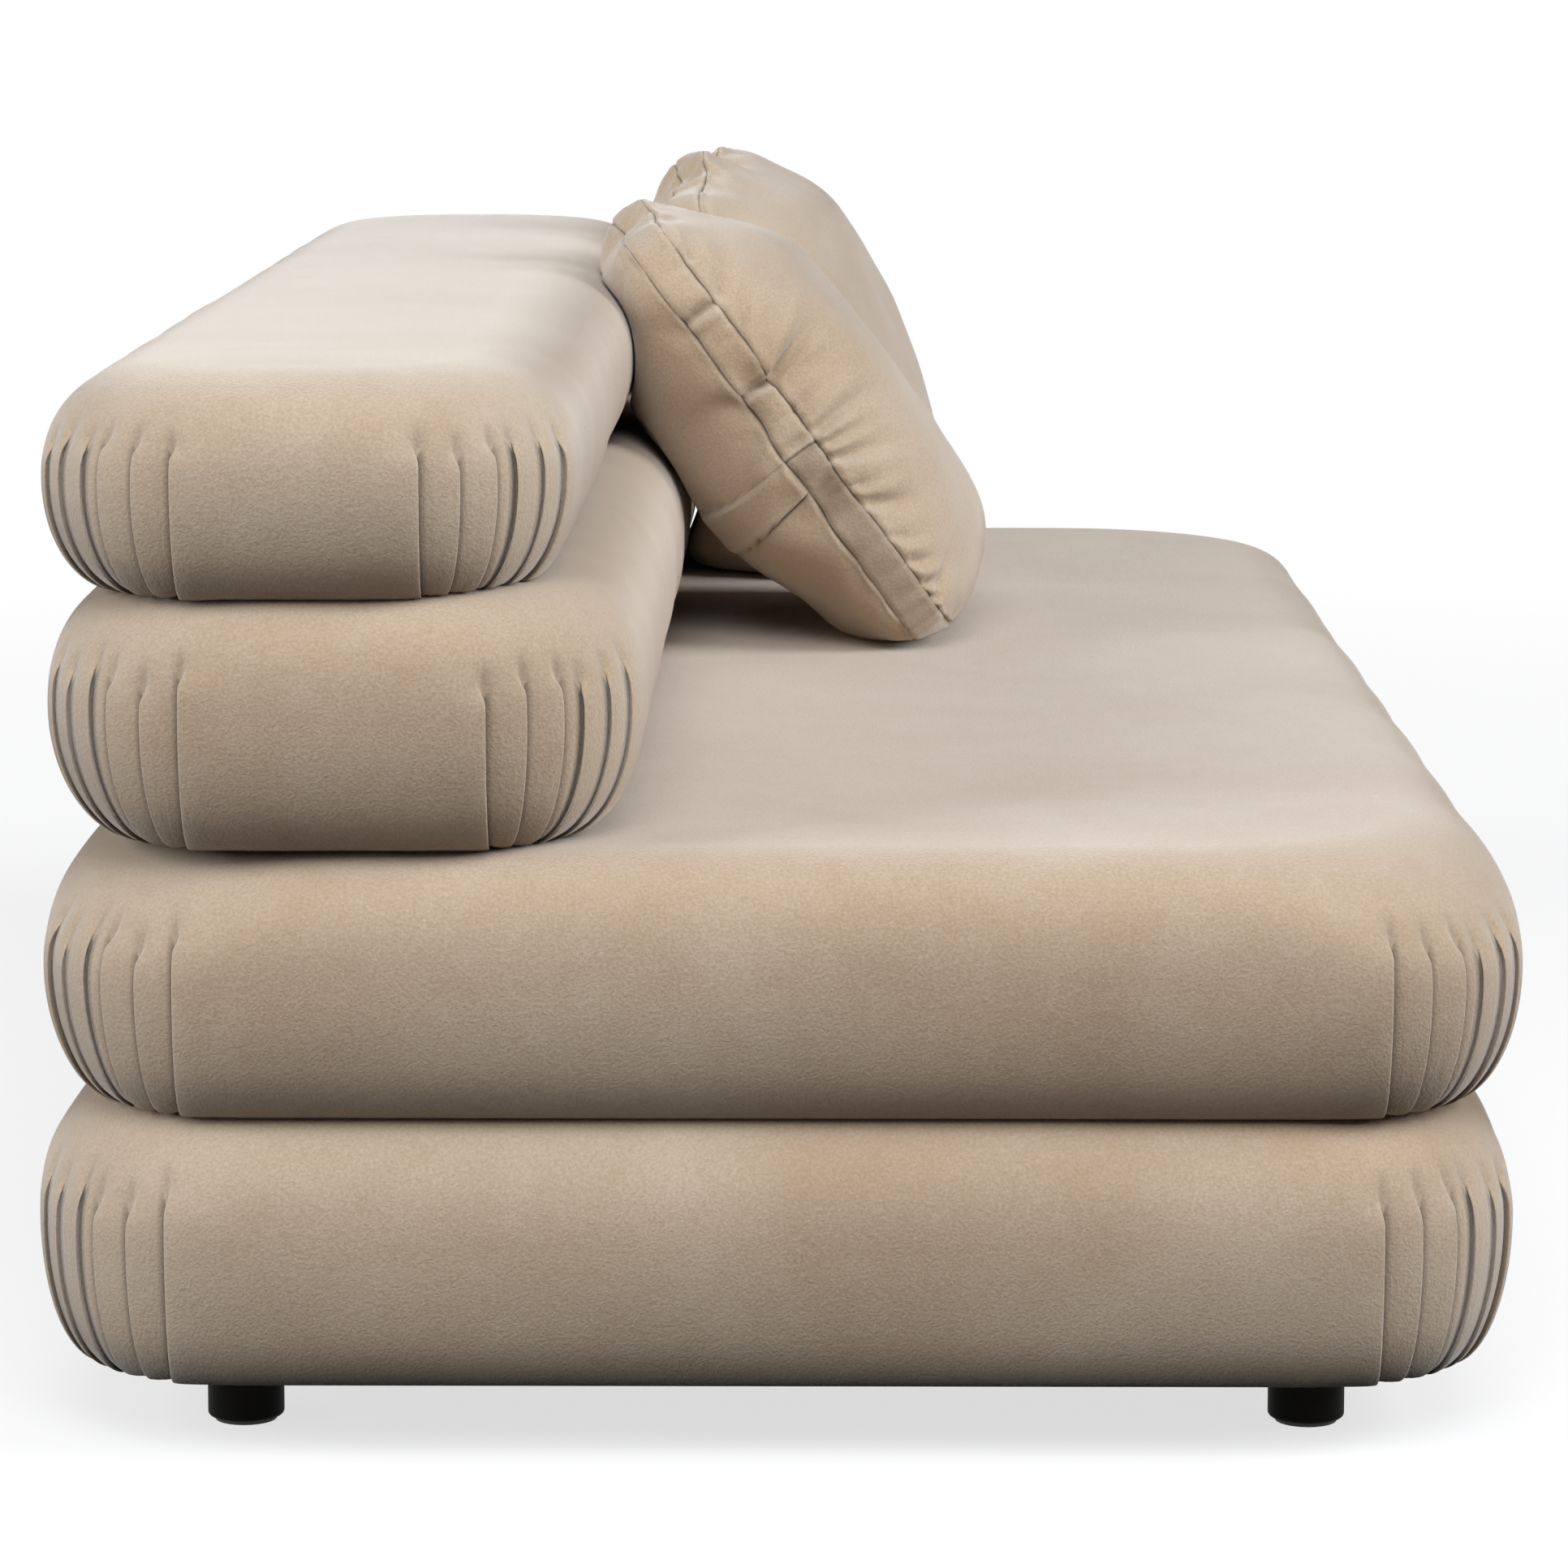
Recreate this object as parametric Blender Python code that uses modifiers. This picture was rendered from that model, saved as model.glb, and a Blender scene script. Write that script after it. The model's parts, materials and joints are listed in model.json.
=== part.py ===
"""Armless loveseat: four stacked, pleated bullnose slabs on a timber frame, with two loose box cushions.

Metres, +Z up. +X runs along the seat and the front faces -Y. The origin lies on the floor under the middle
of the plan. Each slab is a velvet cover, open below, over foam and a timber frame or board.
"""
import math
from dataclasses import dataclass

import bmesh
import bpy
import numpy as np
from mathutils import Matrix

# Plan sizes
LENGTH = 2.100
BASE_DEPTH = 1.000
SEAT_DEPTH = 0.996
SEAT_OVERHANG = 0.003
LOWER_ROLL_DEPTH = 0.400
LOWER_ROLL_SETBACK = 0.0133
UPPER_ROLL_DEPTH = 0.360
UPPER_ROLL_SETBACK = 0.0106

# Heights
LEG_HEIGHT = 0.0484
BASE_THICKNESS = 0.1785
SEAT_THICKNESS = 0.1773
LOWER_ROLL_THICKNESS = 0.1666
UPPER_ROLL_THICKNESS = 0.1492
UPPER_ROLL_CROWN = 0.0015

# Fits between pieces
GAP = 0.0003
BORE_CLEARANCE = 0.0004
SLOT_CLEARANCE = 0.002
CUT_MARGIN = 0.010

# Bullnose edges: how far each reaches in above and below its middle, how full the curve is there, and how
# much wider the corners turn at the top
CORNER_RADIUS = 0.150
BASE_NOSE_ABOVE = 0.110
BASE_NOSE_BELOW = 0.036
SEAT_NOSE_ABOVE = 0.076
SEAT_NOSE_BELOW = 0.045
LOWER_ROLL_NOSE_ABOVE = 0.076
LOWER_ROLL_NOSE_BELOW = 0.051
UPPER_ROLL_NOSE_ABOVE = 0.090
UPPER_ROLL_NOSE_BELOW = 0.043
NOSE_POWER = 2.4
NOSE_POWER_BELOW = 2.0
CORNER_EASE = 0.020
SEAT_CORNER_EASE = 0.090
COVER_WALL = 0.005

# Knife pleats, fanned to both sides of each corner
PLEATS_PER_SIDE = 3
PLEAT_FIRST = 0.011
PLEAT_PITCH = 0.029
PLEAT_TUCK = 0.004
PLEAT_DEPTH = 0.006
PLEAT_TOP = 0.62
PLEAT_FULL = 0.05

# Timber frame and boards
FRAME_INSET = 0.118
RAIL_THICKNESS = 0.028
BASE_RAIL_HEIGHT = 0.118
CORNER_BLOCK = 0.075
DECK_THICKNESS = 0.012
SEAT_RAIL_HEIGHT = 0.045
BOARD_THICKNESS = 0.018
LIP_LAP = 0.010

# Dust cover under the base
DUST_THICKNESS = 0.001
DUST_INSET = 0.108
DUST_CORNER = 0.030

# Legs and their bolts
LEG_DIAMETER = 0.052
LEG_EDGE = 0.003
LEG_FROM_FRAME_EDGE = 0.021
GLIDE_DIAMETER = 0.042
GLIDE_HEIGHT = 0.0025
LEG_BOLT_DIAMETER = 0.010
LEG_BOLT_IN_LEG = 0.026
LEG_BOLT_IN_BLOCK = 0.045
BOLT_CHAMFER = 0.001

# Posts that carry the back rolls, and their bolts
POST_SPACING = 0.960
POST_WIDTH = 0.045
POST_DEPTH = 0.070
POST_FROM_BACK = 0.197
POST_IN_UPPER_ROLL = 0.095
POST_BOLT_DIAMETER = 0.008
POST_BOLT_HEAD_DIAMETER = 0.018
POST_BOLT_HEAD = 0.005
POST_BOLT_NUT_DIAMETER = 0.014
POST_BOLT_NUT = 0.007
POST_BOLT_LOW = 0.030
POST_BOLT_PITCH = 0.060

# Sinuous springs and the felt over them
SPRING_WIRE = 0.004
SPRING_WIDTH = 0.050
SPRING_BENDS = 12
FELT_THICKNESS = 0.006

# Loose cushions
CUSHION_WIDTH = 0.440
CUSHION_HEIGHT = 0.440
CUSHION_CROWN = 0.084
CUSHION_BAND = 0.034
CUSHION_BAND_BULGE = 0.002
CUSHION_SEAM_SINK = 0.004
CUSHION_CORNER_POWER = 4.6
CUSHION_DRAW_IN = 0.030
CUSHION_CROWN_POWER = 0.62
CUSHION_WALL = 0.004
NEAR_CUSHION_X = 0.215
FAR_CUSHION_X = 0.702
NEAR_CUSHION_LEAN = math.radians(37.0)
FAR_CUSHION_LEAN = math.radians(27.0)
NEAR_CUSHION_TURN = math.radians(0.0)
FAR_CUSHION_TURN = math.radians(-10.0)
ZIP_LENGTH = 0.300
ZIP_WIDTH = 0.010
ZIP_THICKNESS = 0.002
ZIP_SINK = 0.001
ZIP_BELOW_CENTRE = 0.060

# Facets
COVER_ROWS = np.radians([-90.0, -66.0, -44.0, -20.0, 2.0, 24.0, 45.0, 67.0, 90.0])
FOAM_ROWS = np.radians([-90.0, -55.0, -18.0, 18.0, 55.0, 90.0])
FOAM_CORNER_STEPS = 4
LEG_STEPS = 24
BOLT_STEPS = 10
COVER_COUNT = 36
INSERT_COUNT = 20
ZIP_STATIONS = 10
COVER_SHARES = (0.12, 0.42, 0.70, 0.90, 0.985)
INSERT_SHARES = (0.25, 0.70, 0.95)
CONTACT_SAMPLES = 9


@dataclass(frozen=True)
class Slab:
    """One upholstered slab: its place and outer size."""

    name: str
    centre_y: float
    depth: float
    bottom: float
    thickness: float
    nose_above: float
    nose_below: float
    crown: float = 0.0
    corner_ease: float = CORNER_EASE

    @property
    def top(self):
        return self.bottom + self.thickness

    @property
    def front(self):
        return self.centre_y - self.depth / 2

    @property
    def inner_floor(self):
        """Height at which a frame or board sits on the turned-under edge of the cover."""
        return self.bottom + COVER_WALL + GAP

    def nose(self, rise):
        """Reach and power of the bullnose curve at a height from -1, the bottom, to 1, the top."""
        above = np.asarray(rise) > 0.0
        return np.where(above, self.nose_above, self.nose_below), np.where(above, NOSE_POWER, NOSE_POWER_BELOW)


# Sizes that follow from those above
OVERALL_DEPTH = BASE_DEPTH + SEAT_OVERHANG
BACK_Y = OVERALL_DEPTH / 2
POST_CENTRE_Y = BACK_Y - POST_FROM_BACK
SPRING_PITCH = POST_SPACING / 4
SPRING_COUNT = 6
DUST_BOTTOM = LEG_HEIGHT + GAP

BASE = Slab(
    "base", BACK_Y - BASE_DEPTH / 2, BASE_DEPTH, DUST_BOTTOM + DUST_THICKNESS + GAP, BASE_THICKNESS,
    BASE_NOSE_ABOVE, BASE_NOSE_BELOW)
SEAT = Slab(
    "seat", SEAT_DEPTH / 2 - OVERALL_DEPTH / 2, SEAT_DEPTH, BASE.top + GAP, SEAT_THICKNESS,
    SEAT_NOSE_ABOVE, SEAT_NOSE_BELOW, corner_ease=SEAT_CORNER_EASE)
LOWER = Slab(
    "lower_back", BACK_Y - LOWER_ROLL_SETBACK - LOWER_ROLL_DEPTH / 2, LOWER_ROLL_DEPTH,
    SEAT.top + GAP, LOWER_ROLL_THICKNESS, LOWER_ROLL_NOSE_ABOVE, LOWER_ROLL_NOSE_BELOW)
UPPER = Slab(
    "upper_back", BACK_Y - UPPER_ROLL_SETBACK - UPPER_ROLL_DEPTH / 2, UPPER_ROLL_DEPTH,
    LOWER.top + GAP, UPPER_ROLL_THICKNESS, UPPER_ROLL_NOSE_ABOVE, UPPER_ROLL_NOSE_BELOW, UPPER_ROLL_CROWN)


def new_collection(name):
    collection = bpy.data.collections.new(name)
    bpy.context.scene.collection.children.link(collection)
    return collection


def clear_scene():
    for item in list(bpy.data.objects):
        bpy.data.objects.remove(item, do_unlink=True)


clear_scene()
PARTS = new_collection("armless_loveseat")
CUTTERS = new_collection("cutters")


def srgb_to_linear(text):
    """Turn an sRGB hex colour into linear red, green, blue and alpha."""
    shares = [int(text[i:i + 2], 16) / 255 for i in (1, 3, 5)]
    linear = [s / 12.92 if s <= 0.04045 else ((s + 0.055) / 1.055) ** 2.4 for s in shares]
    return (*linear, 1.0)


def finish(name, colour, roughness, metallic=0.0):
    material = bpy.data.materials.new(name)
    material.use_nodes = True
    shader = material.node_tree.nodes["Principled BSDF"]
    shader.inputs["Base Color"].default_value = srgb_to_linear(colour)
    shader.inputs["Roughness"].default_value = roughness
    shader.inputs["Metallic"].default_value = metallic
    return material


VELVET = finish("velvet", "#B5A594", 0.9)
FOAM = finish("polyurethane_foam", "#E8DFC4", 0.95)
TIMBER = finish("pine", "#C9A878", 0.7)
PLYWOOD = finish("plywood", "#C4A279", 0.75)
BLACK_WOOD = finish("black_lacquered_wood", "#151412", 0.55)
STEEL = finish("zinc_plated_steel", "#A9ABAE", 0.35, 1.0)
SPRING_STEEL = finish("spring_steel", "#5A5B5E", 0.4, 1.0)
NYLON = finish("nylon", "#1E1D1C", 0.5)
FELT = finish("needled_felt", "#6E6A66", 1.0)
DUST_CLOTH = finish("spunbond_cloth", "#1B1B1C", 0.95)
FIBRE = finish("fibre_fill", "#EDEAE4", 1.0)
ZIP_TAPE = finish("zip_tape", "#8C7C6B", 0.8)


def empty(name, location=(0, 0, 0), rotation=(0, 0, 0)):
    item = bpy.data.objects.new(name, None)
    item.location = location
    item.rotation_euler = rotation
    PARTS.objects.link(item)
    return item


def place(name, mesh, material, location=(0, 0, 0), rotation=(0, 0, 0), parent=None):
    """Add a finished piece to the loveseat."""
    mesh.materials.append(material)
    item = bpy.data.objects.new(name, mesh)
    item.location = location
    item.rotation_euler = rotation
    item.parent = parent
    PARTS.objects.link(item)
    return item


def cutter(name, mesh, location=(0, 0, 0), rotation=(0, 0, 0), parent=None):
    """Add a shape that only cuts others."""
    item = bpy.data.objects.new(name, mesh)
    item.location = location
    item.rotation_euler = rotation
    item.parent = parent
    item.hide_render = True
    item.display_type = "WIRE"
    CUTTERS.objects.link(item)
    return item


def cut(item, *tools):
    for tool in tools:
        modifier = item.modifiers.new("cut_" + tool.name, "BOOLEAN")
        modifier.operation = "DIFFERENCE"
        modifier.object = tool
    return item


def to_mesh(name, build, smooth=False):
    mesh = bpy.data.meshes.new(name)
    build.to_mesh(mesh)
    build.free()
    if smooth:
        mesh.shade_smooth()
        mesh.set_sharp_from_angle(angle=math.radians(40.0))
    return mesh


def box_mesh(name, size):
    build = bmesh.new()
    bmesh.ops.create_cube(build, size=1.0)
    bmesh.ops.scale(build, vec=size, verts=build.verts)
    return to_mesh(name, build)


def middle(low, high):
    return [(a + b) / 2 for a, b in zip(low, high)]


def span(low, high):
    return [b - a for a, b in zip(low, high)]


def box(name, low, high, material):
    """A square-edged piece between two opposite corners."""
    return place(name, box_mesh(name, span(low, high)), material, middle(low, high))


def box_cutter(name, low, high, parent=None):
    return cutter(name, box_mesh(name, span(low, high)), middle(low, high), parent=parent)


def rod_mesh(name, diameter, length):
    build = bmesh.new()
    bmesh.ops.create_cone(
        build, cap_ends=True, segments=BOLT_STEPS, radius1=diameter / 2, radius2=diameter / 2, depth=length)
    return to_mesh(name, build)


def turned(name, profile, steps, material, location, rotation=(0, 0, 0)):
    """Turn a profile of (radius, height) points, listed from the top down, about the local Z axis."""
    mesh = bpy.data.meshes.new(name)
    points = [(radius, 0.0, height) for radius, height in profile]
    mesh.from_pydata(points, [(i, i + 1) for i in range(len(points) - 1)], [])
    item = place(name, mesh, material, location, rotation)
    screw = item.modifiers.new("turn", "SCREW")
    screw.steps = steps
    screw.render_steps = steps
    screw.use_merge_vertices = True
    screw.merge_threshold = 0.00001
    return item


def loft(name, rings):
    """Join rings of equal length, listed from one end to the other, into a closed mesh with flat ends."""
    build = bmesh.new()
    rows = [[build.verts.new(point) for point in ring] for ring in rings]
    for lower, upper in zip(rows, rows[1:]):
        for i in range(len(lower)):
            build.faces.new((lower[i - 1], lower[i], upper[i], upper[i - 1]))
    build.faces.new(rows[0])
    build.faces.new(rows[-1])
    bmesh.ops.recalc_face_normals(build, faces=build.faces)
    return to_mesh(name, build, smooth=True)


def signed_power(value, power):
    return np.sign(value) * np.abs(value) ** power


def pleat_columns():
    """Angles from a corner's bisector, each with its place in the pleat wave, from one side to the other.

    Each fold edge stands proud and points at the bisector, and the cloth dives under it into a tuck.
    """
    side = []
    for k in range(PLEATS_PER_SIDE):
        fold = (PLEAT_FIRST + k * PLEAT_PITCH) / CORNER_RADIUS
        side.append((fold - PLEAT_TUCK / CORNER_RADIUS, -1.0))
        side.append((fold, 1.0))
    side.append((math.pi / 4, 0.0))
    return [(-angle, wave) for angle, wave in reversed(side)] + [(0.0, 0.0)] + side


def plain_columns():
    """Even angles across a corner, with no pleats."""
    return [(angle, 0.0) for angle in np.linspace(-math.pi / 4, math.pi / 4, FOAM_CORNER_STEPS + 1)]


def slab_ring(slab, inset, height, columns, depth=0.0, ease=0.0):
    """Rounded rectangle at one height, its corners widened by the ease and waved by the pleats."""
    points = []
    corner = CORNER_RADIUS - inset + ease
    for quarter, (along, across) in enumerate([(1, 1), (-1, 1), (-1, -1), (1, -1)]):
        centre_x = along * (LENGTH / 2 - inset - corner)
        centre_y = slab.centre_y + across * (slab.depth / 2 - inset - corner)
        bisector = math.pi / 4 + quarter * math.pi / 2
        for angle, wave in columns:
            radius = corner + wave * depth / 2
            turn = bisector + angle
            points.append((centre_x + radius * math.cos(turn), centre_y + radius * math.sin(turn), height))
    return points


def pleat_share(rise):
    """How deep the pleats are at a height from -1, the bottom, to 1, the top: full below, none above."""
    return min(max((PLEAT_TOP - rise) / (PLEAT_TOP - PLEAT_FULL), 0.0), 1.0)


def slab_rings(slab, side_wall, skin, rows, columns, pleat_depth=0.0):
    """Rings up the bullnose edge: inset and height follow a full, rounded curve of angle."""
    middle_z = slab.bottom + slab.thickness / 2
    rings = []
    for angle in rows:
        reach, fullness = slab.nose(math.sin(angle))
        rise = float(signed_power(np.sin(angle), 2 / fullness))
        inset = float(side_wall + reach * (1 - abs(math.cos(angle)) ** (2 / fullness)))
        height = middle_z + rise * (slab.thickness / 2 - skin)
        ease = slab.corner_ease * max(rise, 0.0) ** 2
        rings.append(slab_ring(slab, inset, height, columns, pleat_depth * pleat_share(rise), ease))
    if slab.crown:
        rings.append(slab_ring(slab, side_wall + (slab.nose_above + CORNER_RADIUS) / 2,
                               slab.top - skin + slab.crown, columns, ease=slab.corner_ease))
    return rings


def slab_foam_mesh(slab, extra):
    """The space inside a cover, drawn in by an extra clearance."""
    side_wall = COVER_WALL + PLEAT_DEPTH + extra
    return loft(slab.name + "_inside", slab_rings(
        slab, side_wall, COVER_WALL + extra, FOAM_ROWS, plain_columns()))


def slab_cover(slab):
    """Pleated velvet cover with its edge turned under, open below."""
    rings = slab_rings(slab, 0.0, 0.0, COVER_ROWS, pleat_columns(), PLEAT_DEPTH)
    cover = place(slab.name + "_cover", loft(slab.name + "_cover", rings), VELVET)
    inside = cutter(slab.name + "_cavity", slab_foam_mesh(slab, 0.0))
    lap = FRAME_INSET + LIP_LAP
    mouth = box_cutter(
        slab.name + "_mouth",
        (-LENGTH / 2 + lap, slab.front + lap, slab.bottom - CUT_MARGIN),
        (LENGTH / 2 - lap, slab.front + slab.depth - lap, slab.bottom + COVER_WALL + CUT_MARGIN))
    return cut(cover, inside, mouth)


def slab_foam(slab, pocket_top):
    """Foam that fills a cover, with a pocket from below for its frame or board."""
    foam = place(slab.name + "_foam", slab_foam_mesh(slab, GAP), FOAM)
    low, high = frame_corners(slab, slab.bottom - CUT_MARGIN, pocket_top)
    grow = (GAP, GAP, GAP)
    pocket = box_cutter(
        slab.name + "_pocket",
        [a - b for a, b in zip(low, grow)],
        [a + b for a, b in zip(high, grow)])
    return cut(foam, pocket)


def frame_corners(slab, low_z, high_z):
    """Opposite corners of the timber inside a slab."""
    low = (-LENGTH / 2 + FRAME_INSET, slab.front + FRAME_INSET, low_z)
    high = (LENGTH / 2 - FRAME_INSET, slab.front + slab.depth - FRAME_INSET, high_z)
    return low, high


def post_centres():
    return {"left": -POST_SPACING / 2, "right": POST_SPACING / 2}


def post_slots():
    """Cutters that clear the posts through every layer that they pass."""
    grow = SLOT_CLEARANCE
    slots = []
    for side, centre_x in post_centres().items():
        low = (centre_x - POST_WIDTH / 2 - grow, POST_CENTRE_Y - POST_DEPTH / 2 - grow, BASE.inner_floor)
        high = (centre_x + POST_WIDTH / 2 + grow, POST_CENTRE_Y + POST_DEPTH / 2 + grow,
                UPPER.bottom + POST_IN_UPPER_ROLL + GAP)
        slots.append(box_cutter("post_slot_" + side, low, high))
    return slots


def leg_centres():
    """Leg places by name, set in from the outer faces of the base frame."""
    low, high = frame_corners(BASE, 0.0, 0.0)
    ends = {"left": low[0] + LEG_FROM_FRAME_EDGE, "right": high[0] - LEG_FROM_FRAME_EDGE}
    sides = {"front": low[1] + LEG_FROM_FRAME_EDGE, "rear": high[1] - LEG_FROM_FRAME_EDGE}
    return {f"{side}_{end}": (x, y) for side, y in sides.items() for end, x in ends.items()}


def leg_bores():
    """Cutters for the hanger bolts, through leg, dust cover and corner block."""
    bottom = LEG_HEIGHT - LEG_BOLT_IN_LEG - GAP
    top = BASE.inner_floor + LEG_BOLT_IN_BLOCK + GAP
    bores = {}
    for name, (x, y) in leg_centres().items():
        mesh = rod_mesh("leg_bore_" + name, LEG_BOLT_DIAMETER + 2 * BORE_CLEARANCE, top - bottom)
        bores[name] = cutter("leg_bore_" + name, mesh, (x, y, (top + bottom) / 2))
    return bores


def build_legs(bores):
    """Round black legs on glides, each with a hanger bolt up into the base."""
    radius = LEG_DIAMETER / 2
    foot = GLIDE_HEIGHT + GAP
    leg_profile = [
        (0.0, LEG_HEIGHT),
        (radius - LEG_EDGE / 3, LEG_HEIGHT),
        (radius, LEG_HEIGHT - LEG_EDGE / 3),
        (radius, foot + LEG_EDGE),
        (radius - LEG_EDGE * (1 - math.sqrt(0.5)), foot + LEG_EDGE * (1 - math.sqrt(0.5))),
        (radius - LEG_EDGE, foot),
        (0.0, foot),
    ]
    glide_profile = [
        (0.0, GLIDE_HEIGHT), (GLIDE_DIAMETER / 2, GLIDE_HEIGHT), (GLIDE_DIAMETER / 2, 0.0), (0.0, 0.0)]
    bolt_top = BASE.inner_floor + LEG_BOLT_IN_BLOCK
    bolt_bottom = LEG_HEIGHT - LEG_BOLT_IN_LEG
    bolt_radius = LEG_BOLT_DIAMETER / 2
    bolt_profile = [
        (0.0, bolt_top),
        (bolt_radius - BOLT_CHAMFER, bolt_top),
        (bolt_radius, bolt_top - BOLT_CHAMFER),
        (bolt_radius, bolt_bottom + BOLT_CHAMFER),
        (bolt_radius - BOLT_CHAMFER, bolt_bottom),
        (0.0, bolt_bottom),
    ]
    for name, (x, y) in leg_centres().items():
        cut(turned("leg_" + name, leg_profile, LEG_STEPS, BLACK_WOOD, (x, y, 0.0)), bores[name])
        turned("foot_glide_" + name, glide_profile, LEG_STEPS, NYLON, (x, y, 0.0))
        turned("leg_bolt_" + name, bolt_profile, BOLT_STEPS, STEEL, (x, y, 0.0))


def build_dust_cover(bores):
    """Thin cloth under the base, over the turned-under edge of the cover."""
    half = (LENGTH / 2 - DUST_INSET, BASE.depth / 2 - DUST_INSET)
    build = bmesh.new()
    bmesh.ops.create_cube(build, size=1.0)
    bmesh.ops.scale(build, vec=(2 * half[0], 2 * half[1], DUST_THICKNESS), verts=build.verts)
    uprights = [e for e in build.edges if abs(e.verts[0].co.z - e.verts[1].co.z) > DUST_THICKNESS / 2]
    bmesh.ops.bevel(build, geom=uprights, offset=DUST_CORNER, segments=4, profile=0.5, affect="EDGES")
    sheet = place("dust_cover", to_mesh("dust_cover", build), DUST_CLOTH,
                  (0.0, BASE.centre_y, DUST_BOTTOM + DUST_THICKNESS / 2))
    cut(sheet, *bores.values())


def build_base_frame(bores, slots):
    """Corner blocks, rails between them, cross rails beside the posts and a deck on top."""
    floor = BASE.inner_floor
    low, high = frame_corners(BASE, floor, floor + BASE_RAIL_HEIGHT)
    for side, y in {"front": low[1], "rear": high[1] - CORNER_BLOCK}.items():
        for end, x in {"left": low[0], "right": high[0] - CORNER_BLOCK}.items():
            block = box(f"corner_block_{side}_{end}", (x, y, low[2]),
                        (x + CORNER_BLOCK, y + CORNER_BLOCK, high[2]), TIMBER)
            cut(block, bores[f"{side}_{end}"])
    reach_x = (low[0] + CORNER_BLOCK + GAP, high[0] - CORNER_BLOCK - GAP)
    for side, y in {"front": low[1], "rear": high[1] - RAIL_THICKNESS}.items():
        box(f"base_rail_{side}", (reach_x[0], y, low[2]), (reach_x[1], y + RAIL_THICKNESS, high[2]), TIMBER)
    reach_y = (low[1] + CORNER_BLOCK + GAP, high[1] - CORNER_BLOCK - GAP)
    for end, x in {"left": low[0], "right": high[0] - RAIL_THICKNESS}.items():
        box(f"base_rail_{end}", (x, reach_y[0], low[2]), (x + RAIL_THICKNESS, reach_y[1], high[2]), TIMBER)
    inner_y = (low[1] + RAIL_THICKNESS + GAP, high[1] - RAIL_THICKNESS - GAP)
    cross_rails = {}
    for side, centre_x in post_centres().items():
        x = centre_x - math.copysign((POST_WIDTH + RAIL_THICKNESS) / 2 + GAP, centre_x)
        cross_rails[side] = box(
            f"cross_rail_{side}", (x - RAIL_THICKNESS / 2, inner_y[0], low[2]),
            (x + RAIL_THICKNESS / 2, inner_y[1], high[2]), TIMBER)
    deck_low = (low[0], low[1], high[2] + GAP)
    deck_high = (high[0], high[1], high[2] + GAP + DECK_THICKNESS)
    cut(box("base_deck", deck_low, deck_high, PLYWOOD), *slots)
    return cross_rails, deck_high[2]


def build_posts(cross_rails):
    """Posts that rise through seat and rolls, bolted to the sides of the cross rails."""
    floor = BASE.inner_floor
    top = UPPER.bottom + POST_IN_UPPER_ROLL
    grip = RAIL_THICKNESS + GAP + POST_WIDTH + 2 * GAP
    shank = POST_BOLT_DIAMETER / 2
    head = POST_BOLT_HEAD_DIAMETER / 2
    nut = POST_BOLT_NUT_DIAMETER / 2
    profile = [
        (0.0, grip / 2 + POST_BOLT_NUT), (nut, grip / 2 + POST_BOLT_NUT), (nut, grip / 2),
        (shank, grip / 2), (shank, -grip / 2), (head, -grip / 2),
        (head, -grip / 2 - POST_BOLT_HEAD), (0.0, -grip / 2 - POST_BOLT_HEAD)]
    for side, centre_x in post_centres().items():
        low = (centre_x - POST_WIDTH / 2, POST_CENTRE_Y - POST_DEPTH / 2, floor)
        high = (centre_x + POST_WIDTH / 2, POST_CENTRE_Y + POST_DEPTH / 2, top)
        post = box("back_post_" + side, low, high, TIMBER)
        outward = math.copysign(1.0, centre_x)
        bolt_x = centre_x - outward * (RAIL_THICKNESS + GAP) / 2
        for k, level in enumerate(("lower", "upper")):
            place_at = (bolt_x, POST_CENTRE_Y, floor + POST_BOLT_LOW + k * POST_BOLT_PITCH)
            turn = (0.0, outward * math.pi / 2, 0.0)
            turned(f"post_bolt_{side}_{level}", profile, BOLT_STEPS, STEEL, place_at, turn)
            bore = cutter(
                f"post_bore_{side}_{level}",
                rod_mesh("post_bore", POST_BOLT_DIAMETER + 2 * BORE_CLEARANCE, grip + 2 * CUT_MARGIN),
                place_at, turn)
            cut(post, bore)
            cut(cross_rails[side], bore)


def build_seat_frame(slots):
    """Four rails with sinuous springs across them and a felt pad over the springs."""
    low, high = frame_corners(SEAT, SEAT.inner_floor, SEAT.inner_floor + SEAT_RAIL_HEIGHT)
    for side, y in {"front": low[1], "rear": high[1] - RAIL_THICKNESS}.items():
        box(f"seat_rail_{side}", (low[0], y, low[2]), (high[0], y + RAIL_THICKNESS, high[2]), TIMBER)
    inner_y = (low[1] + RAIL_THICKNESS + GAP, high[1] - RAIL_THICKNESS - GAP)
    for end, x in {"left": low[0], "right": high[0] - RAIL_THICKNESS}.items():
        box(f"seat_rail_{end}", (x, inner_y[0], low[2]), (x + RAIL_THICKNESS, inner_y[1], high[2]), TIMBER)
    wire_z = high[2] + GAP + SPRING_WIRE / 2
    run = (low[1] + RAIL_THICKNESS / 2, high[1] - RAIL_THICKNESS / 2)
    for i in range(SPRING_COUNT):
        spring(f"seat_spring_{i + 1}", (i - (SPRING_COUNT - 1) / 2) * SPRING_PITCH, run, wire_z)
    felt_low = (low[0], low[1], high[2] + SPRING_WIRE + 2 * GAP)
    felt_high = (high[0], high[1], felt_low[2] + FELT_THICKNESS)
    cut(box("spring_felt", felt_low, felt_high, FELT), *slots)
    return felt_high[2]


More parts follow.
